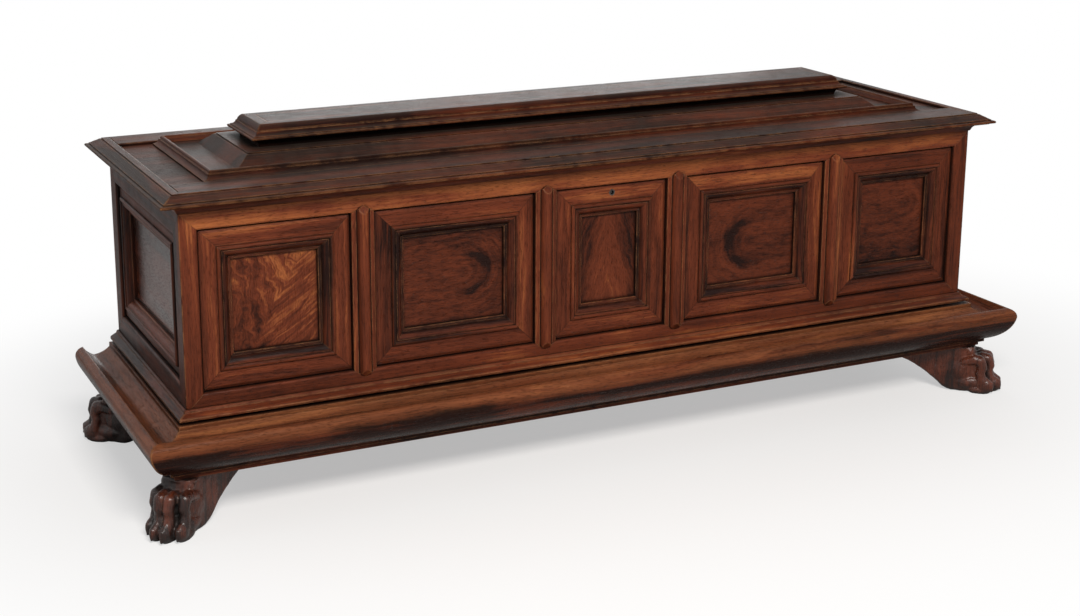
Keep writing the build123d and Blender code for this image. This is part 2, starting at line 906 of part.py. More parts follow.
def lid_frame(section, end_inset, long_inset, z):
    """A mitred frame of four lid mouldings round a rectangular opening."""
    size = lid_size(end_inset, long_inset)
    sections = {"sides": section, "top": section, "bottom": section}
    return frame_members(sections, (0, middle_y, z), size, RIGHT, BACK, UP)


strip_inner = (strip_end_inset + strip_width, strip_long_inset + strip_width)
save("lid_inner_frame", *lid_frame(strip_section(), *strip_inner, lid_top_z))

bevel_top_z = crown_z - 2
crown_floor_z = lid_top_z + crown_floor_thickness
bevel_levels = (
    (crown_floor_z, crown_bevel_end_inset, crown_bevel_long_inset),
    (
        bevel_top_z,
        crown_bevel_end_inset + crown_bevel_width,
        crown_bevel_long_inset + crown_bevel_width,
    ),
)
with BuildPart() as crown_base:
    for level, end_inset, long_inset in bevel_levels:
        with BuildSketch(Plane.XY.offset(level)):
            with Locations((0, middle_y)):
                Rectangle(*lid_size(end_inset, long_inset))
    loft(ruled=True)
    with BuildSketch(Plane.XY.offset(lid_top_z)):
        with Locations((0, middle_y)):
            Rectangle(*lid_size(*strip_inner))
    extrude(amount=crown_floor_thickness)
    with BuildSketch(Plane.XY.offset(bevel_top_z)):
        with Locations((0, middle_y)):
            Rectangle(*lid_size(bevel_levels[1][1] + 3, bevel_levels[1][2] + 3))
    extrude(amount=crown_z - bevel_top_z)
save("crown_base", crown_base.part)

crown_inner = (
    crown_lip_end_inset + crown_moulding_width,
    crown_lip_long_inset + crown_moulding_width,
)
save("crown_moulding", *lid_frame(crown_section(), *crown_inner, crown_z))
crown_top_size = lid_size(*crown_inner)
with BuildPart() as crown_top:
    with BuildSketch(Plane.XY.offset(crown_z)):
        with Locations((0, middle_y)):
            Rectangle(*crown_top_size)
    extrude(amount=crown_height)
save("crown_top", crown_top.part)

# -------------------------------------------------------------------------------- hinges

hinge_y = back_y + hinge_offset
hinge_z = rim_z - hinge_offset
hinge_places = (-hinge_spacing, hinge_spacing)
leaf_start = knuckle_radius + 1
third = hinge_width / 3
outer_knuckle = third - knuckle_clearance / 2
middle_knuckle = third - knuckle_clearance


back_leaves = []
lid_leaves = []
pins = []
for x in hinge_places:
    outer_centres = [x + way * (hinge_width - outer_knuckle) / 2 for way in (-1, 1)]
    with BuildPart() as back_leaf:
        with Locations((x, back_y, hinge_z - leaf_start)):
            Box(hinge_width, hinge_leaf_thickness, hinge_leaf_length, align=HUNG_BEHIND)
        for centre in outer_centres:
            with Locations((centre, back_y, hinge_z)):
                Box(outer_knuckle, hinge_leaf_thickness, leaf_start, align=HUNG_BEHIND)
            with Locations(Location((centre, hinge_y, hinge_z), (0, 90, 0))):
                Cylinder(knuckle_radius, outer_knuckle)
        with Locations(Location((x, hinge_y, hinge_z), (0, 90, 0))):
            Cylinder(pin_radius + pin_clearance, hinge_width, mode=Mode.SUBTRACT)
    back_leaves.append(back_leaf.part)
    with BuildPart() as lid_leaf:
        with Locations((x, hinge_y + leaf_start, rim_z)):
            Box(hinge_width, lid_leaf_length, hinge_leaf_thickness, align=HUNG_BEHIND)
        with Locations((x, hinge_y, rim_z)):
            Box(middle_knuckle, leaf_start, hinge_leaf_thickness, align=HUNG_BEHIND)
        with Locations(Location((x, hinge_y, hinge_z), (0, 90, 0))):
            Cylinder(knuckle_radius, middle_knuckle)
            Cylinder(pin_radius + pin_clearance, hinge_width, mode=Mode.SUBTRACT)
    lid_leaves.append(lid_leaf.part)
    with BuildPart() as pin:
        with Locations(Location((x, hinge_y, hinge_z), (0, 90, 0))):
            Cylinder(pin_radius, hinge_width)
    pins.append(pin.part)
save("hinge_back_leaves", *back_leaves)
save("hinge_lid_leaves", *lid_leaves)
save("hinge_pins", *pins)

# ---------------------------------------------------------------------------------- lock

lock_middle_y = inside_front_y + lock_depth / 2
lock_top_z = rim_z - lock_top_clearance
staple_low_z = rim_z - staple_plate_thickness - staple_length
eye_low_z = staple_low_z + staple_bar
eye_height = bolt_height + 2 * eye_clearance
bolt_z = eye_low_z + eye_height / 2
bolt_start_x = staple_thickness / 2 + eye_clearance + 1
tail_x = bolt_start_x + bolt_reach / 2
tail_width = bolt_reach / 3
tail_low_z = keyhole_z + keyhole_radius

with BuildPart() as lid_staple:
    with Locations((0, lock_middle_y, rim_z)):
        Box(staple_plate_length, staple_width + 2, staple_plate_thickness, align=HANGING)
        Box(staple_thickness, staple_width, staple_plate_thickness + staple_length, align=HANGING)
    with Locations((0, lock_middle_y, bolt_z)):
        Box(staple_thickness, staple_width - 2 * staple_bar, eye_height, mode=Mode.SUBTRACT)
save("lid_staple", lid_staple.part)

with BuildPart() as lock_bolt:
    with Locations((bolt_start_x + bolt_reach / 2, lock_middle_y, bolt_z)):
        Box(bolt_reach, bolt_thickness, bolt_height)
    with Locations((tail_x, lock_middle_y, bolt_z)):
        Box(tail_width, bolt_thickness, bolt_z - tail_low_z, align=HANGING)
save("lock_bolt", lock_bolt.part)

key_room_depth = bolt_thickness * 2
keyway_radius = keyhole_radius - keyhole_wall
with BuildPart() as lock_case:
    with Locations((0, lock_middle_y, lock_top_z)):
        Box(lock_width, lock_depth, lock_height, align=HANGING)
    # slot that the staple drops into
    with Locations((0, lock_middle_y, lock_top_z)):
        Box(
            staple_thickness + 2 * staple_clearance,
            staple_width + 2 * staple_clearance,
            lock_top_z - staple_low_z + staple_clearance,
            align=HANGING,
            mode=Mode.SUBTRACT,
        )
    # channel that the bolt slides in, and the room that its tail sweeps
    with Locations((bolt_start_x + (bolt_reach - bolt_travel) / 2, lock_middle_y, bolt_z)):
        Box(
            bolt_reach + bolt_travel + 2 * bolt_clearance,
            bolt_thickness + 2 * bolt_clearance,
            bolt_height + 2 * bolt_clearance,
            mode=Mode.SUBTRACT,
        )
    with Locations((tail_x - bolt_travel / 2, lock_middle_y, bolt_z)):
        Box(
            tail_width + bolt_travel + 2 * bolt_clearance,
            bolt_thickness + 2 * bolt_clearance,
            bolt_z - tail_low_z + bolt_clearance,
            align=HANGING,
            mode=Mode.SUBTRACT,
        )
    # room for the key's bit, the keyway into it and the pin that the key turns on
    with Locations(Location((0, lock_middle_y, keyhole_z), (90, 0, 0))):
        Cylinder(key_room_radius, key_room_depth, mode=Mode.SUBTRACT)
    with Locations(Location((0, lock_middle_y, keyhole_z), (90, 0, 0))):
        Cylinder(keyway_radius, lock_depth / 2, align=STANDING, mode=Mode.SUBTRACT)
    pin_back_y = lock_middle_y + key_room_depth / 2 + 1
    with Locations(Location((0, pin_back_y, keyhole_z), (90, 0, 0))):
        Cylinder(key_pin_radius, pin_back_y - front_y - band_sink - 3, align=STANDING)
save("lock_case", lock_case.part)

with BuildPart() as keyhole_bush:
    with Locations(keyhole_axis):
        bush_length = board_thickness + facing_thickness - band_sink
        Cylinder(keyhole_radius, bush_length, align=STANDING)
        Cylinder(keyway_radius, bush_length, align=STANDING, mode=Mode.SUBTRACT)
save("keyhole_bush", keyhole_bush.part)
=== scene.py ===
"""Looks of a walnut cassone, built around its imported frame.

Every size is in metres in the frame's own axes: X along the front, -Y the front, Z up.
"""

from math import pi, radians, tau

import bmesh
import bpy
from bpy.props import FloatProperty, FloatVectorProperty, IntProperty, PointerProperty
from mathutils import Matrix, Vector, noise


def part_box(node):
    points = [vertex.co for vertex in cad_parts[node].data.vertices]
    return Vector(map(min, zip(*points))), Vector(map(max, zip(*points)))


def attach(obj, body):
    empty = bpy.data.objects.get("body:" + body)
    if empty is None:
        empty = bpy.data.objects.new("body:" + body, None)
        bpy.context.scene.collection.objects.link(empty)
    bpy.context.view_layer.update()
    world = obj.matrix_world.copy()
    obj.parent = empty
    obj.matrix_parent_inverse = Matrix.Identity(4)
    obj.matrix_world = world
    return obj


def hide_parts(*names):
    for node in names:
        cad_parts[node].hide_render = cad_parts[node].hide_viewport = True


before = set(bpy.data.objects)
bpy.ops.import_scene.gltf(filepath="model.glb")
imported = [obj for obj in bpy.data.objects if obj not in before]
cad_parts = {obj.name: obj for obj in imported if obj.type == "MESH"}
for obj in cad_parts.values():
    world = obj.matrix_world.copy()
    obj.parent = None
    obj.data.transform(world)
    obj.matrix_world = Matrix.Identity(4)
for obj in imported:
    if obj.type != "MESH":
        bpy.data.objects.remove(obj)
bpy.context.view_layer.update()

bl_info = {
    "name": "Cassone",
    "version": (1, 0, 0),
    "blender": (4, 5, 0),
    "location": "View3D > Sidebar > Cassone",
    "description": "Dresses a walnut chest on lion's paws with its timber, iron and carving",
    "category": "Object",
}

# --------------------------------------------------------------------------- node maths


class Signal:
    """A node's output whose maths is written as a Python expression."""

    def __init__(self, tree, socket):
        self.tree = tree
        self.socket = socket

    def _math(self, operation, *values, clamp=False):
        inputs = {number: value for number, value in enumerate(values)}
        settings = {"operation": operation, "use_clamp": clamp}
        return self.tree.add("ShaderNodeMath", settings, inputs)

    def __add__(self, other):
        return self._math("ADD", self, other)

    def __radd__(self, other):
        return self._math("ADD", other, self)

    def __sub__(self, other):
        return self._math("SUBTRACT", self, other)

    def __rsub__(self, other):
        return self._math("SUBTRACT", other, self)

    def __mul__(self, other):
        return self._math("MULTIPLY", self, other)

    def __rmul__(self, other):
        return self._math("MULTIPLY", other, self)

    def __truediv__(self, other):
        return self._math("DIVIDE", self, other)

    def __pow__(self, other):
        return self._math("POWER", self, other)

    def __abs__(self):
        return self._math("ABSOLUTE", self)

    def __gt__(self, other):
        return self._math("GREATER_THAN", self, other)

    def clamped(self):
        """Held between 0 and 1."""
        return self._math("ADD", self, 0.0, clamp=True)

    def sign(self):
        return self._math("SIGN", self)

    def at_least(self, other):
        return self._math("MAXIMUM", self, other)

    def ramp(self, low, high):
        """0 below low, 1 above high and smooth between."""
        settings = {"interpolation_type": "SMOOTHSTEP"}
        inputs = {"Value": self, "From Min": low, "From Max": high}
        return self.tree.add("ShaderNodeMapRange", settings, inputs)


class Tree:
    """A node tree that is written as calls and expressions."""

    def __init__(self, node_tree):
        self.node_tree = node_tree

    def add(self, kind, settings=None, inputs=None, output=0):
        """Adds a node. Its settings come first, then the values or links of its sockets."""
        node = self.node_tree.nodes.new(kind)
        for name, value in (settings or {}).items():
            if name == "stops":
                self._set_stops(node.color_ramp, value)
            else:
                setattr(node, name, value)
        for name, value in (inputs or {}).items():
            if isinstance(value, Signal):
                self.node_tree.links.new(value.socket, node.inputs[name])
            else:
                node.inputs[name].default_value = value
        return Signal(self, node.outputs[output]) if node.outputs else node

    @staticmethod
    def _set_stops(ramp, stops):
        while len(ramp.elements) < len(stops):
            ramp.elements.new(1.0)
        for element, (place, colour) in zip(ramp.elements, stops):
            element.position = place
            element.color = (*colour, 1.0)


class Finish(Tree):
    """One material, with its object coordinates split into x, y and z."""

    def __init__(self, name):
        self.material = bpy.data.materials.new(name)
        self.material.use_nodes = True
        super().__init__(self.material.node_tree)
        self.node_tree.nodes.clear()
        self.place = self.add("ShaderNodeTexCoord", output="Object")
        split = self.node_tree.nodes.new("ShaderNodeSeparateXYZ")
        self.node_tree.links.new(self.place.socket, split.inputs[0])
        self.x, self.y, self.z = [Signal(self, out) for out in split.outputs]

    def vector(self, x, y, z):
        return self.add("ShaderNodeCombineXYZ", inputs={"X": x, "Y": y, "Z": z})

    def noise(self, vector, scale, detail=3.0, roughness=0.55, distortion=0.0):
        """Smooth noise around 0.5."""
        inputs = {
            "Vector": vector,
            "Scale": scale,
            "Detail": detail,
            "Roughness": roughness,
            "Distortion": distortion,
        }
        return self.add("ShaderNodeTexNoise", inputs=inputs)

    def mix(self, factor, first, second):
        """Mix of two colours."""
        inputs = {0: factor, 6: self.colour(first), 7: self.colour(second)}
        return self.add("ShaderNodeMix", {"data_type": "RGBA"}, inputs, output=2)

    @staticmethod
    def colour(value):
        """A colour socket's value: a link as it is, a colour with its alpha."""
        return value if isinstance(value, Signal) else (*value, 1.0)

    def stops(self, factor, *stops):
        """Colour from a factor and (place, colour) stops."""
        return self.add("ShaderNodeValToRGB", {"stops": stops}, {"Fac": factor})

    def rounded(self, radius):
        """Normal of the surface with its arrises rounded."""
        return self.add("ShaderNodeBevel", {"samples": 4}, {"Radius": radius})

    def bump(self, height, distance, normal):
        """Normal from a height of 0 to 1 that stands for so many metres."""
        inputs = {"Height": height, "Distance": distance, "Strength": 1.0, "Normal": normal}
        return self.add("ShaderNodeBump", inputs=inputs)

    def surface(self, **sockets):
        """The shader itself. Names are the sockets' names in lower case."""
        inputs = {
            name.replace("_", " ").title().replace("Ior", "IOR"): value
            for name, value in sockets.items()
        }
        shader = self.add("ShaderNodeBsdfPrincipled", inputs=inputs)
        self.add("ShaderNodeOutputMaterial", inputs={"Surface": shader})
        return self.material


# ----------------------------------------------------------------------------- settings


class TimberSettings(bpy.types.PropertyGroup):
    """Colours and wear of the old walnut."""

    heart: FloatVectorProperty(
        name="Heart",
        description="Dark lines of the timber",
        subtype="COLOR",
        default=(0.0125, 0.0036, 0.0022),
    )
    body: FloatVectorProperty(
        name="Body",
        description="Common colour of the timber",
        subtype="COLOR",
        default=(0.094, 0.0205, 0.0080),
    )
    flame: FloatVectorProperty(
        name="Flame",
        description="Bright streaks of the timber",
        subtype="COLOR",
        default=(0.32, 0.098, 0.030),
    )
    # Colour of wear on rubbed arrises, also used for the painted light on the top of the torus.
    worn_and_lit: FloatVectorProperty(
        name="Worn",
        description="Rubbed arrises",
        subtype="COLOR",
        default=(0.33, 0.145, 0.060),
    )
    # Painted shade: the colour that ambient occlusion lays into corners, creases and under parts,
    # and also the colour of the real dark mitre joints.
    shade_and_joint_colour: FloatVectorProperty(
        name="Grime",
        description="Old wax and dust in the corners",
        subtype="COLOR",
        default=(0.0050, 0.0030, 0.0024),
    )
    dust: FloatVectorProperty(
        name="Dust",
        description="Pale dust on faces that look up",
        subtype="COLOR",
        default=(0.10, 0.078, 0.062),
    )
    arris_radius: FloatProperty(
        name="Arris Radius",
        description="Radius that hands have rubbed onto sharp arrises",
        unit="LENGTH",
        default=0.0026,
    )
    # Reach of the ambient occlusion that paints shade into corners.
    painted_shade_reach: FloatProperty(
        name="Grime Reach",
        description="How far grime spreads out of a corner",
        unit="LENGTH",
        default=0.036,
    )
    polish: FloatProperty(
        name="Polish",
        description="How strongly the old wax mirrors the light",
        default=0.11,
        min=0.0,
        max=1.0,
    )


class PlinthSettings(bpy.types.PropertyGroup):
    """Section of the torus plinth. Reaches go out from the carcase, drops down from the ledge."""

    ledge_reach: FloatProperty(
        name="Ledge Reach", description="Reach of the level ledge", unit="LENGTH", default=0.020
    )
    ledge_drop: FloatProperty(
        name="Ledge Drop", description="Height of the ledge's edge", unit="LENGTH", default=0.008
    )
    cove_reach: FloatProperty(
        name="Cove Reach", description="Where the cove starts", unit="LENGTH", default=0.022
    )
    cove_drop: FloatProperty(
        name="Cove Drop", description="Drop at the cove's start", unit="LENGTH", default=0.010
    )
    valley_reach: FloatProperty(
        name="Valley Reach", description="Reach of the cove's floor", unit="LENGTH", default=0.050
    )
    valley_drop: FloatProperty(
        name="Valley Drop", description="Drop of the cove's floor", unit="LENGTH", default=0.021
    )
    crest_inset: FloatProperty(
        name="Crest Inset",
        description="Distance of the torus's crest behind its nose",
        unit="LENGTH",
        default=0.015,
    )
    crest_drop: FloatProperty(
        name="Crest Drop", description="Drop of the torus's crest", unit="LENGTH", default=0.003
    )
    nose_rise: FloatProperty(
        name="Nose Rise",
        description="Height of the torus's nose above the base board",
        unit="LENGTH",
        default=0.046,
    )
    fillet_step: FloatProperty(
        name="Fillet Step", description="Reach past the base board", unit="LENGTH", default=0.008
    )
    fillet_height: FloatProperty(
        name="Fillet Height", description="Height of the lowest face", unit="LENGTH", default=0.006
    )
    rub_depth: FloatProperty(
        name="Rub Depth",
        description="How far wear moves the faces of the plinth",
        unit="LENGTH",
        default=0.0008,
    )
    # Painted light mixed with wear on the torus above these heights, painted shade below them.
    lit_and_rubbed_heights: FloatVectorProperty(
        name="Golden Band",
        description="Heights over which the worn, golden top of the torus begins",
        unit="LENGTH",
        size=2,
        default=(0.150, 0.176),
    )


class PawSettings(bpy.types.PropertyGroup):
    """Sizes of a carved lion's paw."""

    front_heading: FloatProperty(
        name="Front Heading",
        description="Turn of the front toes towards the front",
        subtype="ANGLE",
        default=radians(38),
    )
    rear_heading: FloatProperty(
        name="Rear Heading",
        description="Turn of the rear toes towards the back",
        subtype="ANGLE",
        default=radians(45),
    )
    rear_setback: FloatProperty(
        name="Rear Setback",
        description="Distance of the rear feet in from the back corners",
        unit="LENGTH",
        default=0.052,
    )
    console_width: FloatProperty(
        name="Console Width", description="Width of the leg", unit="LENGTH", default=0.058
    )
    console_reach: FloatProperty(
        name="Console Reach",
        description="Reach of the leg's scroll under the chest",
        unit="LENGTH",
        default=0.158,
    )
    toe_reach: FloatProperty(
        name="Toe Reach", description="Reach of the toes' tips", unit="LENGTH", default=0.1
    )
    toe_spacing: FloatProperty(
        name="Toe Spacing", description="Spacing of the toes' roots", unit="LENGTH", default=0.015
    )
    toe_fan: FloatProperty(
        name="Toe Fan",
        description="Turn from one toe to the next",
        subtype="ANGLE",
        default=radians(3.5),
    )
    toe_setback: FloatProperty(
        name="Toe Setback",
        description="How far the outer toes stand back",
        unit="LENGTH",
        default=0.016,
    )
    carving_grid: FloatProperty(
        name="Carving Grid",
        description="Fineness of the carved surface",
        unit="LENGTH",
        default=0.0016,
    )


class LidSettings(bpy.types.PropertyGroup):
    """Widths of the lid's mitred rings."""

    strip_width: FloatProperty(
        name="Strip Width", description="Width of the inner strip", unit="LENGTH", default=0.026
    )
    crown_width: FloatProperty(
        name="Crown Width", description="Width of the crown moulding", unit="LENGTH", default=0.042
    )


class IronworkSettings(bpy.types.PropertyGroup):
    """Sizes of the hinges and their screws."""

    leaf_width: FloatProperty(
        name="Leaf Width",
        description="Length of a hinge along its pin",
        unit="LENGTH",
        default=0.063,
    )
    leaf_thickness: FloatProperty(
        name="Leaf Thickness", description="Thickness of a leaf", unit="LENGTH", default=0.002
    )
    back_screw_height: FloatProperty(
        name="Back Screw Height",
        description="Height of the back leaves' screws above the leaf's foot",
        unit="LENGTH",
        default=0.014,
    )
    lid_screw_inset: FloatProperty(
        name="Lid Screw Inset",
        description="Distance of the lid leaves' screws from the leaf's back edge",
        unit="LENGTH",
        default=0.009,
    )
    screw_radius: FloatProperty(
        name="Screw Radius", description="Radius of a screw's head", unit="LENGTH", default=0.0034
    )
    screw_rise: FloatProperty(
        name="Screw Rise", description="Height of a screw's head", unit="LENGTH", default=0.0012
    )
    screws_in_leaf: IntProperty(
        name="Screws in Leaf", description="Screws in one leaf of a hinge", default=3, min=1
    )


class StageSettings(bpy.types.PropertyGroup):
    """Camera, lamps and floor."""

    camera_place: FloatVectorProperty(
        name="Camera Place",
        description="Where the camera stands",
        subtype="TRANSLATION",
        default=(-1.537, -3.001, 1.2647),
    )
    camera_azimuth: FloatProperty(
        name="Camera Azimuth",
        description="Turn of the view to the right of straight on",
        subtype="ANGLE",
        default=radians(25.14),
    )
    camera_pitch: FloatProperty(
        name="Camera Pitch",
        description="How far the view looks down",
        subtype="ANGLE",
        default=radians(14.0),
    )
    focal_pixels: FloatProperty(
        name="Focal Pixels", description="Focal length in pixels of the frame", default=1763.8
    )
    shift_pixels: FloatVectorProperty(
        name="Shift Pixels",
        description="Shift of the frame to the right and up, in its pixels",
        size=2,
        default=(40.0, -100.0),
    )


class CassoneSettings(bpy.types.PropertyGroup):
    """Everything that a user would change."""

    timber: PointerProperty(type=TimberSettings)
    plinth: PointerProperty(type=PlinthSettings)
    paw: PointerProperty(type=PawSettings)
    lid: PointerProperty(type=LidSettings)
    ironwork: PointerProperty(type=IronworkSettings)
    stage: PointerProperty(type=StageSettings)


def settings():
    """All the settings, kept on the scene."""
    return bpy.context.scene.cassone


# ------------------------------------------------------------------------------- timber

# Patterns of the walnut: repeats in a metre along the grain, and across it.
DRIFT = (2.2, 9.0)
STREAKS = (1.1, 34.0)
FIBRES = (9.0, 260.0)
PORES = (70.0, 1100.0)
BLOTCHES = 6.5
RAGS = 38.0

# Shifts that give each member of a frame, and each seed, timber of its own.
UPRIGHT_SHIFT = 3.1
LEVEL_SHIFT = 1.7
SEED_SHIFT = 0.731

# How much each pattern lightens and darkens the walnut.
STREAK_WEIGHT = 1.5
FIBRE_WEIGHT = 0.55
BLOTCH_WEIGHT = 0.5
DRIFT_WEIGHT = 0.5

# Each ramp runs from none of its effect to all of it.
INNER_SHADE_RAMP = (0.017, 0.030)  # metres out from an opening
PORE_RAMP = (0.30, 0.42)
ARRIS_RAMP = (0.004, 0.10)  # how far the rounded normal leaves the flat one
BARE_RAMP = (0.62, 0.9)  # share of open air over a rubbed arris
RAG_RAMP = (0.30, 0.66)
UNSHADED_RAMP = (0.20, 0.94)  # share of open air over a face with no painted shade
MITRE_RAMP = (0.0003, 0.0011)  # metres from a mitre
UPWARD_RAMP = (0.4, 0.95)

# How far each effect covers the timber under it.
RUBBED_COVER = 0.75
# Cover of the painted shade in corners, together with the dark mitre joints.
SHADE_AND_JOINT_COVER = 0.93
PORE_COVER = 0.55
MITRE_COVER = 0.65
LIGHT_AND_WEAR_COVER = 0.62

# How much the band paints light, mixed with wear, on the timber above it, and paints shade below.
LIGHT_AND_WEAR_LIFT = 0.42
PAINTED_SHADE_DROP = 0.12

# Shares of the plain timber and of the figure in a figured panel.
PLAIN_SHARE = 0.45
FIGURE_SHARE = 0.62

# How much each thing roughens the walnut.
RAG_ROUGHNESS = 0.22
# Roughening where shade is painted in corners, and at mitre joints.
SHADE_AND_JOINT_ROUGHNESS = 0.28
FIBRE_ROUGHNESS = 0.12
RUBBED_ROUGHNESS = -0.06

# Relief of each surface and radius of its arrises, in metres.
WALNUT_RELIEF = 0.0007
BOARD_RELIEF = 0.0008
IRON_RELIEF = 0.0004
BOARD_ARRIS = 0.0015
IRON_ARRIS = 0.0006

# Patterns of the boards, along the grain and across it, and of the iron.
BOARD_STREAKS = (1.4, 26.0)
BOARD_FIBRES = (12.0, 420.0)
BOARD_STAINS = 4.0
HAMMER_MARKS = 130.0
RUST_SPOTS = 45.0
RUST_RAMP = (0.52, 0.68)

# Sawn boards from their dark lines to their pale ones, and iron under its oil.
BOARD_DARK = (0.040, 0.022, 0.013)
BOARD_BODY = (0.115, 0.064, 0.036)
BOARD_PALE = (0.215, 0.132, 0.078)
IRON_DARK = (0.040, 0.038, 0.036)
IRON_PALE = (0.095, 0.090, 0.086)
RUST = (0.085, 0.030, 0.012)


class Grain:
    """Which way the grain runs in a piece: along one axis, or round a mitred frame."""

    def __init__(self, along, opening=None):
        self.along = along
        self.opening = opening

    def coordinates(self, finish):
        """Along, across and through the grain, the member's offset, mitre and outward reach."""
        axes = {"X": finish.x, "Y": finish.y, "Z": finish.z}
        if not self.opening:
            others = [name for name in "XYZ" if name != self.along]
            return axes[self.along], axes[others[0]], axes[others[1]], 0.0, None, None
        (first, first_middle, first_half), (second, second_middle, second_half) = self.opening
        third = next(name for name in "XYZ" if name not in (first, second))
        a = axes[first] - first_middle
        b = axes[second] - second_middle
        beyond_first, beyond_second = abs(a) - first_half, abs(b) - second_half
        difference = beyond_first - beyond_second
        upright = difference > 0.0
        along = axes[second] * upright + axes[first] * (1.0 - upright)
        across = axes[first] * upright + axes[second] * (1.0 - upright)
        member = a.sign() * upright * UPRIGHT_SHIFT + b.sign() * (1.0 - upright) * LEVEL_SHIFT
        outward = beyond_first.at_least(beyond_second)
        return along, across, axes[third], member, difference, outward


def walnut(
    name,
    grain,
    seed,
    tone=0.5,
    contrast=1.0,
    matt=0.34,
    wear=1.0,
    figure=None,
    dust=0.0,
    polish=0.0,
    inner=0.0,
    light_and_wear_band=None,
):
    """Old polished walnut: streaks, fibre, pores, painted shade in corners, dark mitres and rubbed
    arrises.

    Tone is how light the timber is and matt how rough. Inner paints shade on a frame beside its
    opening. Band is the pair of heights between which the timber turns from painted shade below
    to painted light and wear above, golden. Polish is for a piece that is waxed unlike the rest.
    """
    timber = settings().timber
    f = Finish(name)
    along, across, through, member, joint, outward = grain.coordinates(f)
    member = member + seed * SEED_SHIFT

    drift_place = f.vector(
        along * DRIFT[0], across * DRIFT[1] + member, through * DRIFT[1] + member
    )
    drift = f.noise(drift_place, 1.0, detail=3.0)
    warp = (drift - 0.5) * 0.9
    streak_place = f.vector(
        along * STREAKS[0] + member,
        across * STREAKS[1] + warp * 3.0,
        through * STREAKS[1] + warp,
    )
    streak = f.noise(streak_place, 1.0, detail=5.0, roughness=0.62, distortion=0.35)
    fibre_place = f.vector(
        along * FIBRES[0] + member, across * FIBRES[1] + warp * 4.0, through * FIBRES[1]
    )
    fibre = f.noise(fibre_place, 1.0, detail=2.0, roughness=0.7)
    blotch = f.noise(f.place, BLOTCHES, detail=3.0, roughness=0.6)

    shade = (streak - 0.5) * (STREAK_WEIGHT * contrast) + (fibre - 0.5) * (FIBRE_WEIGHT * contrast)
    shade = shade + (blotch - 0.5) * BLOTCH_WEIGHT + (drift - 0.5) * DRIFT_WEIGHT + tone
    # Painted shade on the inner mouldings beside an opening, where the recess falls into shade.
    if inner:
        shade = shade - (1.0 - outward.ramp(*INNER_SHADE_RAMP)) * inner
    # Painted light, mixed with wear, on the upper torus, and painted shade under it.
    if light_and_wear_band:
        lit = f.z.ramp(*light_and_wear_band)
        rise = (drift - 0.35).clamped() * 1.6 + 0.35
        shade = shade + lit * rise * LIGHT_AND_WEAR_LIFT - (1.0 - lit) * PAINTED_SHADE_DROP
    if figure:
        shade = shade * PLAIN_SHARE + figure(f) * FIGURE_SHARE
    colour = f.stops(
        shade.clamped(),
        (0.12, tuple(timber.heart)),
        (0.42, tuple(timber.body)),
        (0.62, tuple(c * 1.45 for c in timber.body)),
        (0.92, tuple(timber.flame)),
    )

    # The upper torus turns golden: painted light mixed with wear.
    if light_and_wear_band:
        golden = lit * rise * streak.ramp(0.3, 0.7)
        colour = f.mix(golden * LIGHT_AND_WEAR_COVER, colour, tuple(timber.worn_and_lit))

    pore_place = f.vector(along * PORES[0], across * PORES[1], through * PORES[1])
    pores = 1.0 - f.noise(pore_place, 1.0, detail=1.0).ramp(*PORE_RAMP)
    colour = f.mix(pores * PORE_COVER, colour, tuple(timber.heart))

    soft = f.rounded(timber.arris_radius * wear)
    flat = f.add("ShaderNodeNewGeometry", output="True Normal")
    dot = {"operation": "DOT_PRODUCT"}
    facing = f.add("ShaderNodeVectorMath", dot, {0: soft, 1: flat}, output="Value")
    reach = {"Distance": timber.painted_shade_reach}
    open_air = f.add("ShaderNodeAmbientOcclusion", {"samples": 6}, reach, output="AO")
    ragged = f.noise(f.place, RAGS, detail=3.0, roughness=0.65)
    rubbed = (1.0 - facing).ramp(*ARRIS_RAMP) * open_air.ramp(*BARE_RAMP)
    rubbed = (rubbed * ragged.ramp(*RAG_RAMP) * wear).clamped()
    # Painted shade from ambient occlusion in corners and under parts, plus the real dark line of
    # each mitre joint.
    shade_and_joint_mask = (1.0 - open_air.ramp(*UNSHADED_RAMP)) * (0.85 + ragged * 0.75)
    if joint:
        shade_and_joint_mask = shade_and_joint_mask + (1.0 - abs(joint).ramp(*MITRE_RAMP)) * MITRE_COVER
    shade_and_joint_mask = shade_and_joint_mask.clamped()
    colour = f.mix(rubbed * RUBBED_COVER, colour, tuple(timber.worn_and_lit))
    colour = f.mix(shade_and_joint_mask * SHADE_AND_JOINT_COVER, colour, tuple(timber.shade_and_joint_colour))
    if dust:
        upward = f.add("ShaderNodeSeparateXYZ", inputs={0: flat}, output=2).ramp(*UPWARD_RAMP)
        colour = f.mix(upward * ragged * dust, colour, tuple(timber.dust))

    height = fibre * 0.35 + streak * 0.4 + blotch * 0.9 - pores * 0.5
    normal = f.bump(height, WALNUT_RELIEF, soft)
    roughness = matt + (ragged - 0.5) * RAG_ROUGHNESS + shade_and_joint_mask * SHADE_AND_JOINT_ROUGHNESS
    roughness = roughness + rubbed * RUBBED_ROUGHNESS + (fibre - 0.5) * FIBRE_ROUGHNESS
    return f.surface(
        base_color=colour,
        roughness=roughness.clamped(),
        normal=normal,
        specular_ior_level=polish if polish else timber.polish,
    )


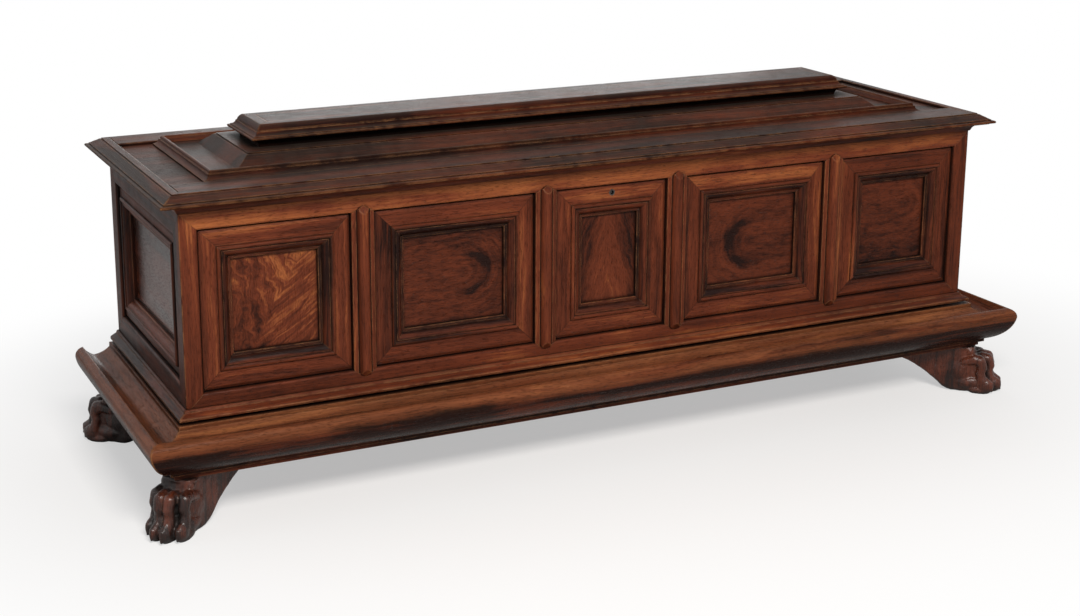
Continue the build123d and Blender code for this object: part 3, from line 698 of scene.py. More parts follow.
def feather(middle, slope, lean, frequency, glow):
    """Crotch figure: lines that fall away on both sides of a spine, brighter to one side.

    Slope is how steeply the lines fall, lean is the spine's, frequency counts the lines in a
    metre, and glow is how much a metre to the right and a metre up brighten them.
    """

    def field(f):
        u = f.x - middle[0]
        w = f.z - middle[1]
        wave = f.noise(f.place, 8.0, detail=4.0, roughness=0.65) - 0.5
        spine = u - w * lean + wave * 0.085
        fall = w + abs(spine) * slope + wave * 0.05
        place = f.vector(fall * frequency, spine * 20.0, 0.0)
        lines = f.noise(place, 1.0, detail=6.0, roughness=0.72, distortion=0.7)
        return lines.ramp(0.30, 0.72) + u * glow[0] + w * glow[1]

    return field


def swirl(middle, stretch, side, frequency, glow, crescent):
    """Swirl figure: fine lines that run level and wrap round an eye, with a dark crescent.

    Stretch is the eye's half size, side is 1 or -1 for the end that the lines wrap round.
    """

    def field(f):
        wave = f.noise(f.place, 9.0, detail=4.0, roughness=0.65) - 0.5
        u = (f.x - middle[0]) * side / stretch[0] + wave * 0.7
        w = (f.z - middle[1]) / stretch[1] + wave * 0.5
        ahead = u.at_least(0.0)
        ring = (ahead * ahead + w * w) ** 0.5
        place = f.vector(ring * frequency, u * 1.3, w * 0.8)
        lines = f.noise(place, 1.0, detail=8.0, roughness=0.72, distortion=0.6)
        smudge = (1.0 - abs(ring - 0.85).ramp(0.0, 0.42)) * u.ramp(-0.5, 0.6)
        speck = f.noise(f.place, 60.0, detail=3.0, roughness=0.7) - 0.5
        shade = lines.ramp(0.15, 0.88) * 0.8 + speck * 0.22 + 0.1 - smudge * crescent
        return shade + u * glow[0] + w * glow[1]

    return field


def burr(middle, frequency, half):
    """Burr figure: nested arches and small whirls, brightest inside a bell outline."""

    def field(f):
        u = f.x - middle[0]
        w = f.z - middle[1]
        wave = f.noise(f.place, 18.0, detail=3.0, roughness=0.7) - 0.5
        arch = abs(u) * 1.6 + (w + 0.03) * 0.55 + wave * 0.05
        place = f.vector(arch * frequency, u * 14.0, w * 9.0)
        whirl = f.noise(place, 1.0, detail=6.0, roughness=0.75)
        width = half - (w + 0.02) * 0.16
        bell = 1.0 - (abs(u) + wave * 0.03 - width).ramp(-0.010, 0.012)
        return whirl.ramp(0.25, 0.78) * 0.62 + bell * 0.42 - 0.10

    return field


def plain_boards(name, grain, seed):
    """Sawn and planed boards that were never polished."""
    f = Finish(name)
    along, across, through, *_ = grain.coordinates(f)
    streak_place = f.vector(
        along * BOARD_STREAKS[0], across * BOARD_STREAKS[1] + seed, through * BOARD_STREAKS[1]
    )
    streak = f.noise(streak_place, 1.0, detail=5.0, roughness=0.6, distortion=0.4)
    fibre_place = f.vector(
        along * BOARD_FIBRES[0], across * BOARD_FIBRES[1], through * BOARD_FIBRES[1]
    )
    fibre = f.noise(fibre_place, 1.0, detail=2.0, roughness=0.7)
    stain = f.noise(f.place, BOARD_STAINS + seed * 0.01, detail=4.0, roughness=0.65)
    shade = (streak * 0.55 + fibre * 0.25 + stain * 0.35 - 0.08).clamped()
    colour = f.stops(
        shade,
        (0.25, BOARD_DARK),
        (0.55, BOARD_BODY),
        (0.85, BOARD_PALE),
    )
    normal = f.bump(fibre * 0.6 + streak * 0.6, BOARD_RELIEF, f.rounded(BOARD_ARRIS))
    roughness = (0.62 + (stain - 0.5) * 0.2).clamped()
    return f.surface(base_color=colour, roughness=roughness, normal=normal)


def forged_iron(name):
    """Dull iron with old oil and a little rust."""
    f = Finish(name)
    hammered = f.noise(f.place, HAMMER_MARKS, detail=3.0, roughness=0.6)
    rust = f.noise(f.place, RUST_SPOTS, detail=5.0, roughness=0.7).ramp(*RUST_RAMP)
    colour = f.mix(hammered, IRON_DARK, IRON_PALE)
    colour = f.mix(rust * 0.7, colour, RUST)
    normal = f.bump(hammered + rust * 0.4, IRON_RELIEF, f.rounded(IRON_ARRIS))
    return f.surface(
        base_color=colour,
        roughness=(0.42 + rust * 0.35 + (hammered - 0.5) * 0.2).clamped(),
        metallic=(0.92 - rust * 0.7).clamped(),
        normal=normal,
    )


def coat(node, material):
    """Gives a node of the frame its material."""
    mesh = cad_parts[node].data
    mesh.materials.clear()
    mesh.materials.append(material)


def opening(node, first, second, width=0.0):
    """Axis, middle and half size, twice: a node's box inside members of one width."""
    low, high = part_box(node)
    spans = []
    for axis in (first, second):
        number = "XYZ".index(axis)
        middle = (low[number] + high[number]) / 2
        spans.append((axis, middle, (high[number] - low[number]) / 2 - width))
    return spans


# ------------------------------------------------------------------------------- meshes


def add_piece(name, mesh, material, slot, body, *nodes):
    """Adds a finished piece: an object at the origin that rides a body, and hides the given nodes.
    """
    piece = bpy.data.objects.new(name, mesh)
    bpy.context.scene.collection.objects.link(piece)
    mesh.materials.clear()
    mesh.materials.append(material)
    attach(piece, body)
    if nodes:
        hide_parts(*nodes)


def evaluated_mesh(piece):
    """The mesh that a piece's modifiers give, as a plain mesh."""
    depsgraph = bpy.context.evaluated_depsgraph_get()
    depsgraph.update()
    return bpy.data.meshes.new_from_object(piece.evaluated_get(depsgraph))


def arc_points(start, through, end, count):
    """Points along the circle through three points, without the first."""
    (ax, ay), (bx, by), (cx, cy) = start, through, end
    d = 2 * (ax * (by - cy) + bx * (cy - ay) + cx * (ay - by))
    a2, b2, c2 = ax * ax + ay * ay, bx * bx + by * by, cx * cx + cy * cy
    ux = (a2 * (by - cy) + b2 * (cy - ay) + c2 * (ay - by)) / d
    uy = (a2 * (cx - bx) + b2 * (ax - cx) + c2 * (bx - ax)) / d
    centre = Vector((ux, uy))
    first, halfway, last = (Vector(point) - centre for point in (start, through, end))
    total = first.angle_signed(halfway) + halfway.angle_signed(last)
    points = []
    for step in range(1, count + 1):
        turn = -total * step / count
        points.append(centre + Matrix.Rotation(turn, 2) @ first)
    return [tuple(point) for point in points]


def section_points(start, *steps):
    """Section outline: each step is a point, or a (through, end, count) arc."""
    points = [start]
    for step in steps:
        if isinstance(step[0], tuple):
            through, end, count = step
            points += arc_points(points[-1], through, end, count)
        else:
            points.append(step)
    return points


def close_rings(shell, rings):
    """Joins rings of vertices by four-sided faces and closes both ends."""
    for ring, following in zip(rings, rings[1:]):
        for number in range(len(ring)):
            after = (number + 1) % len(ring)
            shell.faces.new((ring[number], ring[after], following[after], following[number]))
    shell.faces.new(list(reversed(rings[0])))
    shell.faces.new(rings[-1])


def moulding(name, section, stations, smooth=radians(32)):
    """Mesh of a section carried through stations, each a function from (out, up) to a place."""
    mesh = bpy.data.meshes.new(name)
    shell = bmesh.new()
    rings = []
    for station in stations:
        rings.append([shell.verts.new(station(out, up)) for out, up in section])
    close_rings(shell, rings)
    bmesh.ops.recalc_face_normals(shell, faces=shell.faces)
    for face in shell.faces:
        face.smooth = len(face.verts) == 4
    for edge in shell.edges:
        if len(edge.link_faces) == 2 and edge.calc_face_angle(0.0) > smooth:
            edge.smooth = False
    shell.to_mesh(mesh)
    shell.free()
    return mesh


# --------------------------------------------------------------------------- the plinth


RUB_WAVES = 3.5  # waves of wear in a metre
RUB_SEED = 1795511624  # the draw of that wear, the same in every run
FRONT_STEPS = 40

# How far out and up the arcs of the section bow from the middle between their ends.
COVE_BOW = (0.0, -0.0025)
CREST_BOW = (0.001, -0.0025)
TORUS_BOW = (0.007, -0.006)

# Where the torus is roundest between its crest and its nose.
SHOULDER_INSET = 0.003
SHOULDER_LIFT = 0.004


def carcase_box():
    """The carcase's box, whose faces the lid board shares."""
    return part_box("lid_board")


def between(first, second, bow):
    """The middle of two points of a section, moved out and up by a bow."""
    return ((first[0] + second[0]) / 2 + bow[0], (first[1] + second[1]) / 2 + bow[1])


def plinth_profile():
    """The torus, the hollow behind it and the ledge, as (out, up) from the carcase's face."""
    plinth = settings().plinth
    face = carcase_box()[0][1]
    (_, plinth_front, low), (_, plinth_back, ledge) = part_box("plinth_front")
    base_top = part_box("base_board")[1][2]
    base_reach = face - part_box("base_board")[0][1]
    bearing = plinth_back - face
    ledge_foot = (plinth.ledge_reach, ledge - plinth.ledge_drop)
    cove = (plinth.cove_reach, ledge - plinth.cove_drop)
    valley = (plinth.valley_reach, ledge - plinth.valley_drop)
    nose = (face - plinth_front - plinth.rub_depth, base_top + plinth.nose_rise)
    crest = (nose[0] - plinth.crest_inset, ledge - plinth.crest_drop)
    fillet = (base_reach + plinth.fillet_step, low + plinth.fillet_height)
    shoulder = (nose[0] - SHOULDER_INSET, (nose[1] + crest[1]) / 2 + SHOULDER_LIFT)
    return section_points(
        (base_reach, base_top),
        (-bearing, base_top),
        (-bearing, ledge),
        (plinth.ledge_reach, ledge),
        ledge_foot,
        cove,
        (between(cove, valley, COVE_BOW), valley, 8),
        (between(valley, crest, CREST_BOW), crest, 8),
        (shoulder, nose, 10),
        (between(fillet, nose, TORUS_BOW), fillet, 22),
        (fillet[0], low),
        (base_reach, low),
    )


def rubbed_place(place):
    """A place moved a little, as a hand plane and years of rubbing leave a long moulding."""
    return place + noise.noise_vector(place * RUB_WAVES) * settings().plinth.rub_depth


def plinth_meshes():
    """The three runs of the plinth: front, left and right."""
    noise.seed_set(RUB_SEED)
    section = plinth_profile()
    (_, front, _), (right, back, _) = carcase_box()

    def front_station(share):
        def place(out, up):
            reach = right + out
            return rubbed_place(Vector((-reach + 2 * reach * share, front - out, up)))

        return place

    def side_station(side, share):
        def place(out, up):
            start = front - out
            return rubbed_place(Vector((side * (right + out), start + (back - start) * share, up)))

        return place

    shares = [step / FRONT_STEPS for step in range(FRONT_STEPS + 1)]
    meshes = {"front": moulding("plinth_front", section, [front_station(s) for s in shares])}
    for name, side in (("left", -1), ("right", 1)):
        stations = [side_station(side, s) for s in shares[::2]]
        meshes[name] = moulding(f"plinth_{name}", section, stations)
    return meshes


class CASSONE_OT_plinth(bpy.types.Operator):
    """Lay the torus plinth round the front and the ends"""

    bl_idname = "cassone.plinth"
    bl_label = "Plinth"

    def execute(self, context):
        for seed, (side, mesh) in enumerate(plinth_meshes().items()):
            grain = Grain("X" if side == "front" else "Y")
            # Each run gets painted light and wear on its top and painted shade underneath.
            finish = walnut(
                f"plinth_walnut_{side}",
                grain,
                11 + seed,
                tone=0.26,
                matt=0.28,
                wear=1.5,
                polish=0.07,
                light_and_wear_band=tuple(settings().plinth.lit_and_rubbed_heights),
            )
            name, node = f"plinth_run_{side}", f"plinth_{side}"
            add_piece(name, mesh, finish, "plinth_walnut", "chest", node)
        coat("base_board", walnut("base_board_walnut", Grain("X"), 17, tone=0.36, matt=0.5))
        coat("plinth_back_rail", plain_boards("back_rail_timber", Grain("X"), 5))
        return {"FINISHED"}


# ---------------------------------------------------------------------------- the paws


# The leg's outline, as (out to the toes, up): the depth of its scroll, the end of its long
# cove, the round of its heel and its front. Shares are of the leg's reach and height.
SCROLL_DEPTH = 0.015
COVE_SHARES = (0.54, 0.561)
COVE_END = (-0.022, 0.009)
HEEL_ROUND = (-0.011, 0.0032)
HEEL = (-0.002, 0.0)
LEG_FRONT = 0.050
LEG_TOP_FRONT = 0.040
LEG_FRONT_SHARE = 0.6

# The point that the leg's arrises are eased towards. Its height is a share of the leg's.
LEG_HEART = (-0.02, 0.62)

# The leg in layers across: share of the half width, and how far the arris is eased.
LEG_LAYERS = ((-1.0, 0.006), (-0.9, 0.0018), (-0.72, 0.0), (0.72, 0.0), (0.9, 0.0018), (1.0, 0.006))

# A toe from its root to its pad: distance back from the tip, height and radius. A height
# below zero is measured down from the foot's top.
TOE_LINE = (
    (0.062, -0.032, 0.0095),
    (0.042, -0.0255, 0.0112),
    (0.031, -0.0275, 0.0114),
    (0.0255, -0.042, 0.0100),
    (0.029, 0.044, 0.0096),
    (0.024, 0.024, 0.0110),
)
CLAW_LINE = ((0.018, 0.0290, 0.0062), (0.006, 0.0215, 0.0054), (0.0030, 0.0065, 0.0026))

# Pads of a toe: distance back from the tip, height and radii.
PADS = (
    (0.0185, 0.0160, (0.0180, 0.0108, 0.0160)),
    (0.030, 0.0065, (0.0250, 0.0105, 0.0095)),
)

# The instep and the ball of the foot: reach, height, and radii out, across and up. The
# heights and the radii up are shares of the foot's height.
INSTEP = ((0.018, 0.47), (0.042, 0.0335, 0.455))
FOOT_BALL = ((0.036, 0.20), (0.046, 0.0365, 0.24))

# The collar over the instep: reach, half width, drop from the foot's top, and radius.
COLLAR = (0.032, 0.025, 0.011, 0.0085)

# The cushion under the base board: reach, drop from the foot's top, and radii.
CUSHION = (0.022, 0.004, (0.022, 0.033, 0.0045))

TOE_PLACES = (-1.5, -0.5, 0.5, 1.5)  # in spacings from the middle of the paw
LUMP_SPACING = 0.0035

# Marks of the gouge: waves in a metre, and their depth.
GOUGE_MARKS = ((55.0, 0.0009), (160.0, 0.0004))


def ball(shell, centre, radii):
    """Adds a rounded lump of wood."""
    place = Matrix.Translation(Vector(centre)) @ Matrix.Diagonal((*radii, 1.0))
    bmesh.ops.create_icosphere(shell, subdivisions=3, radius=1.0, matrix=place)


def limb(shell, knots):
    """Adds lumps close together from knot to knot, each a place and a radius, as one limb."""
    for (start, start_radius), (end, end_radius) in zip(knots, knots[1:]):
        start, end = Vector(start), Vector(end)
        count = max(2, int((end - start).length / LUMP_SPACING))
        for step in range(count + 1):
            share = step / count
            radius = start_radius + (end_radius - start_radius) * share
            ball(shell, start.lerp(end, share), (radius, radius, radius))


def console_shell(shell, paw, height):
    """Adds the S-curved leg behind the paw."""
    reach = paw.console_reach
    half = paw.console_width / 2
    outline = section_points(
        (LEG_TOP_FRONT, height),
        (-reach, height),
        (-reach, height - SCROLL_DEPTH),
        ((-reach * COVE_SHARES[0], height * COVE_SHARES[1]), COVE_END, 20),
        (HEEL_ROUND, HEEL, 5),
        (LEG_FRONT, 0.0),
        (LEG_FRONT, height * LEG_FRONT_SHARE),
    )
    heart = Vector((LEG_HEART[0], height * LEG_HEART[1]))
    rings = []
    for place, inset in LEG_LAYERS:
        ring = []
        for x, z in outline:
            inward = (heart - Vector((x, z))).normalized() * inset
            up = z if z in (0.0, height) else z + inward.y
            ring.append(shell.verts.new((x + inward.x, place * half, up)))
        rings.append(ring)
    close_rings(shell, rings)


def toe_shell(shell, paw, height, place):
    """Adds one toe: knuckle, column, pad and the sheath of its claw."""
    setback = paw.toe_setback * (abs(place) - 0.5)
    move = Matrix.Translation((-setback, place * paw.toe_spacing, 0.0))
    turn = Matrix.Rotation(place * paw.toe_fan, 4, "Z")

    def knots(line):
        return [
            ((paw.toe_reach - back, 0, up if up > 0 else height + up), radius)
            for back, up, radius in line
        ]

    toe = bmesh.new()
    limb(toe, knots(TOE_LINE))
    for back, up, radii in PADS:
        ball(toe, (paw.toe_reach - back, 0, up), radii)
    limb(toe, knots(CLAW_LINE))
    bmesh.ops.transform(toe, matrix=move @ turn, verts=toe.verts)
    scratch = bpy.data.meshes.new("toe")
    toe.to_mesh(scratch)
    toe.free()
    shell.from_mesh(scratch)
    bpy.data.meshes.remove(scratch)


def carved_paw():
    """A whole foot in its own frame: X to the toes, the sole on Z = 0."""
    paw = settings().paw
    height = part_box("foot_front_left")[1][2]
    shell = bmesh.new()
    console_shell(shell, paw, height)
    for (reach, level), (out, across, up) in (INSTEP, FOOT_BALL):
        ball(shell, (reach, 0, height * level), (out, across, height * up))
    reach, half_width, drop, radius = COLLAR
    limb(shell, [((reach, side * half_width, height - drop), radius) for side in (-1, 1)])
    reach, drop, radii = CUSHION
    ball(shell, (reach, 0, height - drop), radii)
    for place in TOE_PLACES:
        toe_shell(shell, paw, height, place)
    mesh = bpy.data.meshes.new("paw")
    shell.to_mesh(mesh)
    shell.free()
    block = bpy.data.objects.new("paw_block", mesh)
    bpy.context.scene.collection.objects.link(block)
    remesh = block.modifiers.new("Carving", "REMESH")
    remesh.mode = "VOXEL"
    remesh.voxel_size = paw.carving_grid
    smooth = block.modifiers.new("Rubbing", "SMOOTH")
    smooth.factor = 0.5
    smooth.iterations = 4
    carved = evaluated_mesh(block)
    bpy.data.objects.remove(block)
    finished = bmesh.new()
    finished.from_mesh(carved)
    for vertex in finished.verts:
        mark = sum(noise.noise(vertex.co * waves) * depth for waves, depth in GOUGE_MARKS)
        vertex.co += vertex.normal * mark
        vertex.co.z = min(max(vertex.co.z, 0.0), height)
    for face in finished.faces:
        face.smooth = True
    finished.to_mesh(carved)
    finished.free()
    return carved


class CASSONE_OT_paws(bpy.types.Operator):
    """Carve the four lion's paws"""

    bl_idname = "cassone.paws"
    bl_label = "Paws"

    def execute(self, context):
        paw = settings().paw
        (left, front, _), (right, back, _) = carcase_box()
        rear = back - paw.rear_setback
        places = {
            "front_left": (left, front, pi + paw.front_heading),
            "front_right": (right, front, -paw.front_heading),
            "rear_left": (left, rear, pi - paw.rear_heading),
            "rear_right": (right, rear, paw.rear_heading),
        }
        carved = carved_paw()
        finish = walnut(
            "paw_walnut", Grain("Z"), 29, tone=0.27, contrast=0.8, matt=0.28, wear=0.9, polish=0.4
        )
        for name, (x, y, heading) in places.items():
            mesh = carved.copy()
            mesh.transform(Matrix.Translation((x, y, 0.0)) @ Matrix.Rotation(heading, 4, "Z"))
            add_piece(f"paw_{name}", mesh, finish, "carved_walnut", "chest", f"foot_{name}")
        bpy.data.meshes.remove(carved)
        coat("foot_tenons", plain_boards("tenon_timber", Grain("Z"), 3))
        return {"FINISHED"}


# -------------------------------------------------------------------------- the framing


# Each bay's tone, its panel's grain and figure, where the figure stands from the panel's
# middle, and the figure's other values.
BAYS = (
    (0.42, "Z", feather, (-0.012, -0.030), (-1.1, 0.55, 52.0, (2.2, 1.8))),
    (0.06, "X", swirl, (0.020, 0.006), ((0.055, 0.044), 1.0, 5.0, (-0.02, -0.03), 0.3)),
    (0.30, "Z", burr, (0.0, 0.0), (90.0, 0.036)),
    (0.16, "X", swirl, (0.006, -0.008), ((0.062, 0.050), -1.0, 4.6, (0.03, 0.03), 0.4)),
    (0.12, "X", swirl, (0.030, 0.030), ((0.050, 0.045), 1.0, 4.2, (0.02, 0.10), -0.2)),
)


class CASSONE_OT_front(bpy.types.Operator):
    """Finish the front: framing, muntins, bay frames and figured panels"""

    bl_idname = "cassone.front"
    bl_label = "Front"

    def execute(self, context):
        # The top rail's tone is raised above the other rails' as painted light, for the reflection
        # that it catches.
        rail = walnut("top_rail_walnut", Grain("X"), 31, tone=0.80, contrast=0.8, matt=0.30)
        coat("front_rail_top", rail)
        coat("front_rail_bottom", walnut("bottom_rail_walnut", Grain("X"), 32, tone=0.46))
        for seed, side in enumerate(("left", "right")):
            finish = walnut(f"stile_walnut_{side}", Grain("Z"), 33 + seed, tone=0.46)
            coat(f"front_stile_{side}", finish)
        coat("muntins", walnut("muntin_walnut", Grain("Z"), 35, tone=0.56, wear=1.3))
        for number, (tone, along, figure, (right, up), values) in enumerate(BAYS, start=1):
            panel = f"bay_panel_{number}"
            spans = opening(panel, "X", "Z")
            ring = Grain(None, spans)
            name, seed = f"bay_walnut_{number}", 40 + number
            # Inner paints shade on the mouldings beside the sunk panel.
            finish = walnut(name, ring, seed, tone=0.50, matt=0.30, inner=0.30)
            coat(f"bay_frame_{number}", finish)
            (_, x, _), (_, z, _) = spans
            finish = walnut(
                f"figured_walnut_{number}",
                Grain(along),
                50 + number,
                tone=tone,
                contrast=0.5,
                matt=0.27,
                wear=0.3,
                figure=figure((x + right, z + up), *values),
            )
            coat(panel, finish)
        coat("cornice_front", walnut("cornice_walnut_front", Grain("X"), 60, tone=0.38, wear=0.6))
        finish = walnut("base_moulding_walnut_front", Grain("X"), 61, tone=0.50, wear=1.7)
        coat("base_moulding_front", finish)
        return {"FINISHED"}


class CASSONE_OT_ends(bpy.types.Operator):
    """Finish the two ends"""

    bl_idname = "cassone.ends"
    bl_label = "Ends"

    def execute(self, context):
        for seed, side in enumerate(("left", "right")):
            outer = Grain(None, opening(f"end_bay_frame_{side}", "Y", "Z"))
            inner = Grain(None, opening(f"end_panel_{side}", "Y", "Z"))
            level = Grain("Y")
            members = (
                ("end_frame", "end_frame", outer, 70, {"tone": 0.26}),
                ("end_bay_frame", "end_bay", inner, 72, {"tone": 0.26}),
                ("end_panel", "end_panel", level, 74, {"tone": 0.30, "matt": 0.2, "polish": 0.5}),
                ("cornice", "cornice", level, 76, {"tone": 0.28}),
                ("base_moulding", "base_moulding", level, 78, {"tone": 0.32, "wear": 1.4}),
            )
            for node, timber, grain, number, looks in members:
                finish = walnut(f"{timber}_walnut_{side}", grain, number + seed, **looks)
                coat(f"{node}_{side}", finish)
        return {"FINISHED"}


def lid_walnut(name, grain, seed, tone=0.21, wear=1.5):
    """Walnut of the lid, duller and dustier than the rest."""
    return walnut(name, grain, seed, tone=tone, contrast=0.6, wear=wear, dust=0.35, polish=0.04)


class CASSONE_OT_lid(bpy.types.Operator):
    """Finish the lid and its stepped crown"""

    bl_idname = "cassone.lid"
    bl_label = "Lid"

    def execute(self, context):
        lid = settings().lid
        coat("lid_board", lid_walnut("lid_board_walnut", Grain("X"), 81, wear=1.0))
        edges = (("front", "X"), ("back", "X"), ("left", "Y"), ("right", "Y"))
        for seed, (side, along) in enumerate(edges, start=82):
            finish = lid_walnut(f"lid_edge_walnut_{side}", Grain(along), seed, tone=0.19)
            coat(f"lid_edge_{side}", finish)
        rings = (("lid_inner_frame", lid.strip_width, 86), ("crown_moulding", lid.crown_width, 87))
        for node, width, seed in rings:
            grain = Grain(None, opening(node, "X", "Y", width))
            coat(node, lid_walnut(f"{node}_walnut", grain, seed))
        coat("crown_base", lid_walnut("crown_base_walnut", Grain("X"), 88, wear=1.0))
        coat("crown_top", lid_walnut("crown_top_walnut", Grain("X"), 89))
        return {"FINISHED"}


class CASSONE_OT_carcase(bpy.types.Operator):
    """Finish the boards inside and behind"""

    bl_idname = "cassone.carcase"
    bl_label = "Carcase"

    def execute(self, context):
        boards = {
            "bottom_board": "X",
            "front_board": "X",
            "back_board": "X",
            "end_board_left": "Y",
            "end_board_right": "Y",
        }
        for seed, (node, along) in enumerate(boards.items()):
            coat(node, plain_boards(f"{node}_timber", Grain(along), 90 + seed))
        return {"FINISHED"}


# ------------------------------------------------------------------------- the ironwork


# Shape of a screw's head and its slot, in shares of the head's radius and rise.
HEAD_SIDES = 20
HEAD_TOP = 0.72
HEAD_STAND = 0.45
SLOT_LENGTH = 3.0
SLOT_WIDTH = 0.26
SLOT_LIFT = 1.05
SLOT_SEED = 7


def screw_tree():
    """Geometry nodes: slotted screw heads in a row of points."""
    group = bpy.data.node_groups.new("Screw Row", "GeometryNodeTree")
    face = group.interface
    face.new_socket("Geometry", in_out="OUTPUT", socket_type="NodeSocketGeometry")
    wanted = (
        ("Count", "NodeSocketInt"),
        ("Start", "NodeSocketVector"),
        ("Step", "NodeSocketVector"),
        ("Turn", "NodeSocketVector"),
        ("Radius", "NodeSocketFloat"),
        ("Rise", "NodeSocketFloat"),
        ("Material", "NodeSocketMaterial"),
    )
    for name, kind in wanted:
        face.new_socket(name, in_out="INPUT", socket_type=kind)
    tree = Tree(group)
    entry = group.nodes.new("NodeGroupInput")
    given = {name: Signal(tree, entry.outputs[name]) for name, _ in wanted}
    line = tree.add(
        "GeometryNodeMeshLine",
        {"mode": "OFFSET"},
        {"Count": given["Count"], "Start Location": given["Start"], "Offset": given["Step"]},
    )
    head = tree.add(
        "GeometryNodeMeshCone",
        {"fill_type": "NGON"},
        {
            "Vertices": HEAD_SIDES,
            "Radius Top": given["Radius"] * HEAD_TOP,
            "Radius Bottom": given["Radius"],
            "Depth": given["Rise"],
        },
    )
    slot_size = tree.add(
        "ShaderNodeCombineXYZ",
        inputs={
            "X": given["Radius"] * SLOT_LENGTH,
            "Y": given["Radius"] * SLOT_WIDTH,
            "Z": given["Rise"],
        },
    )
    slot = tree.add("GeometryNodeMeshCube", inputs={"Size": slot_size})
    lift = tree.add("ShaderNodeCombineXYZ", inputs={"Z": given["Rise"] * SLOT_LIFT})
    slot = tree.add("GeometryNodeTransform", inputs={"Geometry": slot, "Translation": lift})
    cut = tree.add(
        "GeometryNodeMeshBoolean", {"operation": "DIFFERENCE"}, {"Mesh 1": head, "Mesh 2": slot}
    )
    spin = tree.add(
        "FunctionNodeRandomValue",
        {"data_type": "FLOAT"},
        {2: 0.0, 3: tau, "Seed": SLOT_SEED},
        output=1,
    )
    aim = tree.add("FunctionNodeEulerToRotation", inputs={"Euler": given["Turn"]})
    about = tree.add("ShaderNodeCombineXYZ", inputs={"Z": spin})
    about = tree.add("FunctionNodeEulerToRotation", inputs={"Euler": about})
    turned = tree.add(
        "FunctionNodeRotateRotation",
        {"rotation_space": "LOCAL"},
        {"Rotation": aim, "Rotate By": about},
    )
    row = tree.add(
        "GeometryNodeInstanceOnPoints",
        inputs={"Points": line, "Instance": cut, "Rotation": turned},
    )
    solid = tree.add("GeometryNodeRealizeInstances", inputs={"Geometry": row})
    dressed = tree.add(
        "GeometryNodeSetMaterial", inputs={"Geometry": solid, "Material": given["Material"]}
    )
    tree.add("NodeGroupOutput", inputs={"Geometry": dressed})
    return group


def screw_row(name, group, body, material, start, step, turn):
    """Adds one row of screws as a plain piece."""
    iron = settings().ironwork
    holder = bpy.data.objects.new(name, bpy.data.meshes.new(name))
    bpy.context.scene.collection.objects.link(holder)
    modifier = holder.modifiers.new("Row", "NODES")
    modifier.node_group = group
    values = {
        "Count": iron.screws_in_leaf,
        "Start": start,
        "Step": step,
        "Turn": turn,
        "Radius": iron.screw_radius,
        "Rise": iron.screw_rise,
        "Material": material,
    }
    for socket in group.interface.items_tree:
        if socket.name in values:
            modifier[socket.identifier] = values[socket.name]
    mesh = evaluated_mesh(holder)
    bpy.data.objects.remove(holder)
    add_piece(name, mesh, material, "iron", body)


class CASSONE_OT_ironwork(bpy.types.Operator):
    """Finish the hinges and the lock, and drive their screws"""

    bl_idname = "cassone.ironwork"
    bl_label = "Ironwork"

    def execute(self, context):
        iron = forged_iron("forged_iron")
        for node in (
            "hinge_back_leaves",
            "hinge_lid_leaves",
            "hinge_pins",
            "lock_case",
            "keyhole_bush",
            "lock_bolt",
            "lid_staple",
        ):
            coat(node, iron)
        group = screw_tree()
        sizes = settings().ironwork
        (leaf_left, leaf_front, leaf_low), (leaf_right, _, _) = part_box("hinge_back_leaves")
        _, (_, lid_leaf_back, lid_leaf_top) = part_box("hinge_lid_leaves")
        proud = sizes.leaf_thickness + sizes.screw_rise * HEAD_STAND
        width = sizes.leaf_width
        step = (width / sizes.screws_in_leaf, 0.0, 0.0)
        back_row = (leaf_front + proud, leaf_low + sizes.back_screw_height)
        lid_row = (lid_leaf_back - sizes.lid_screw_inset, lid_leaf_top - proud)
        rows = (
            ("back_leaf_screws", "chest", back_row, (-pi / 2, 0.0, 0.0)),
            ("lid_leaf_screws", "lid", lid_row, (pi, 0.0, 0.0)),
        )
        for side, edge in (("left", leaf_left), ("right", leaf_right - width)):
            for name, body, row, turn in rows:
                start = (edge + step[0] / 2, *row)
                screw_row(f"{name}_{side}", group, body, iron, start, step, turn)
        return {"FINISHED"}


# ---------------------------------------------------------------------------- the stage


FRAME_WIDTH = 1080  # pixels that the camera's pixel sizes refer to
SENSOR_WIDTH = 36.0
FLOOR_REACH = 30.0
FLOOR_LIFT = 0.17
FLOOR_COLOUR = (0.80, 0.79, 0.78, 1.0)
SHADOW_FILL = 0.34
FADE_STRETCH = 0.6
FADE_RAMP = (0.5, 1.35)
ROOM_COLOUR = (0.17, 0.17, 0.18, 1.0)
WHITE = (1.0, 1.0, 1.0, 1.0)

# Each lamp's name, place, size, power in watts and colour.
LAMPS = (
    ("key", (-0.9, -3.3, 3.0), (1.6, 1.0), 172.0, (1.0, 0.97, 0.93)),
    ("over", (0.6, 0.9, 3.2), (3.2, 1.2), 9.0, (1.0, 1.0, 1.0)),
    ("behind", (1.4, 3.6, 0.9), (2.4, 1.0), 18.0, (1.0, 1.0, 1.0)),
    ("left", (-3.8, 0.2, 1.5), (1.6, 1.6), 5.0, (0.86, 0.95, 1.0)),
)
LAMP_TARGET = (0.0, 0.0, 0.35)


def add_lamp(name, place, size, power, colour):
    """Adds a soft rectangular lamp that shines on the chest."""
    data = bpy.data.lights.new(name, "AREA")
    data.shape = "RECTANGLE"
    data.size, data.size_y = size
    data.energy = power
    data.color = colour
    light = bpy.data.objects.new(name, data)
    bpy.context.scene.collection.objects.link(light)
    light.location = place
    aim = Vector(LAMP_TARGET) - Vector(place)
    light.rotation_euler = aim.to_track_quat("-Z", "Y").to_euler()


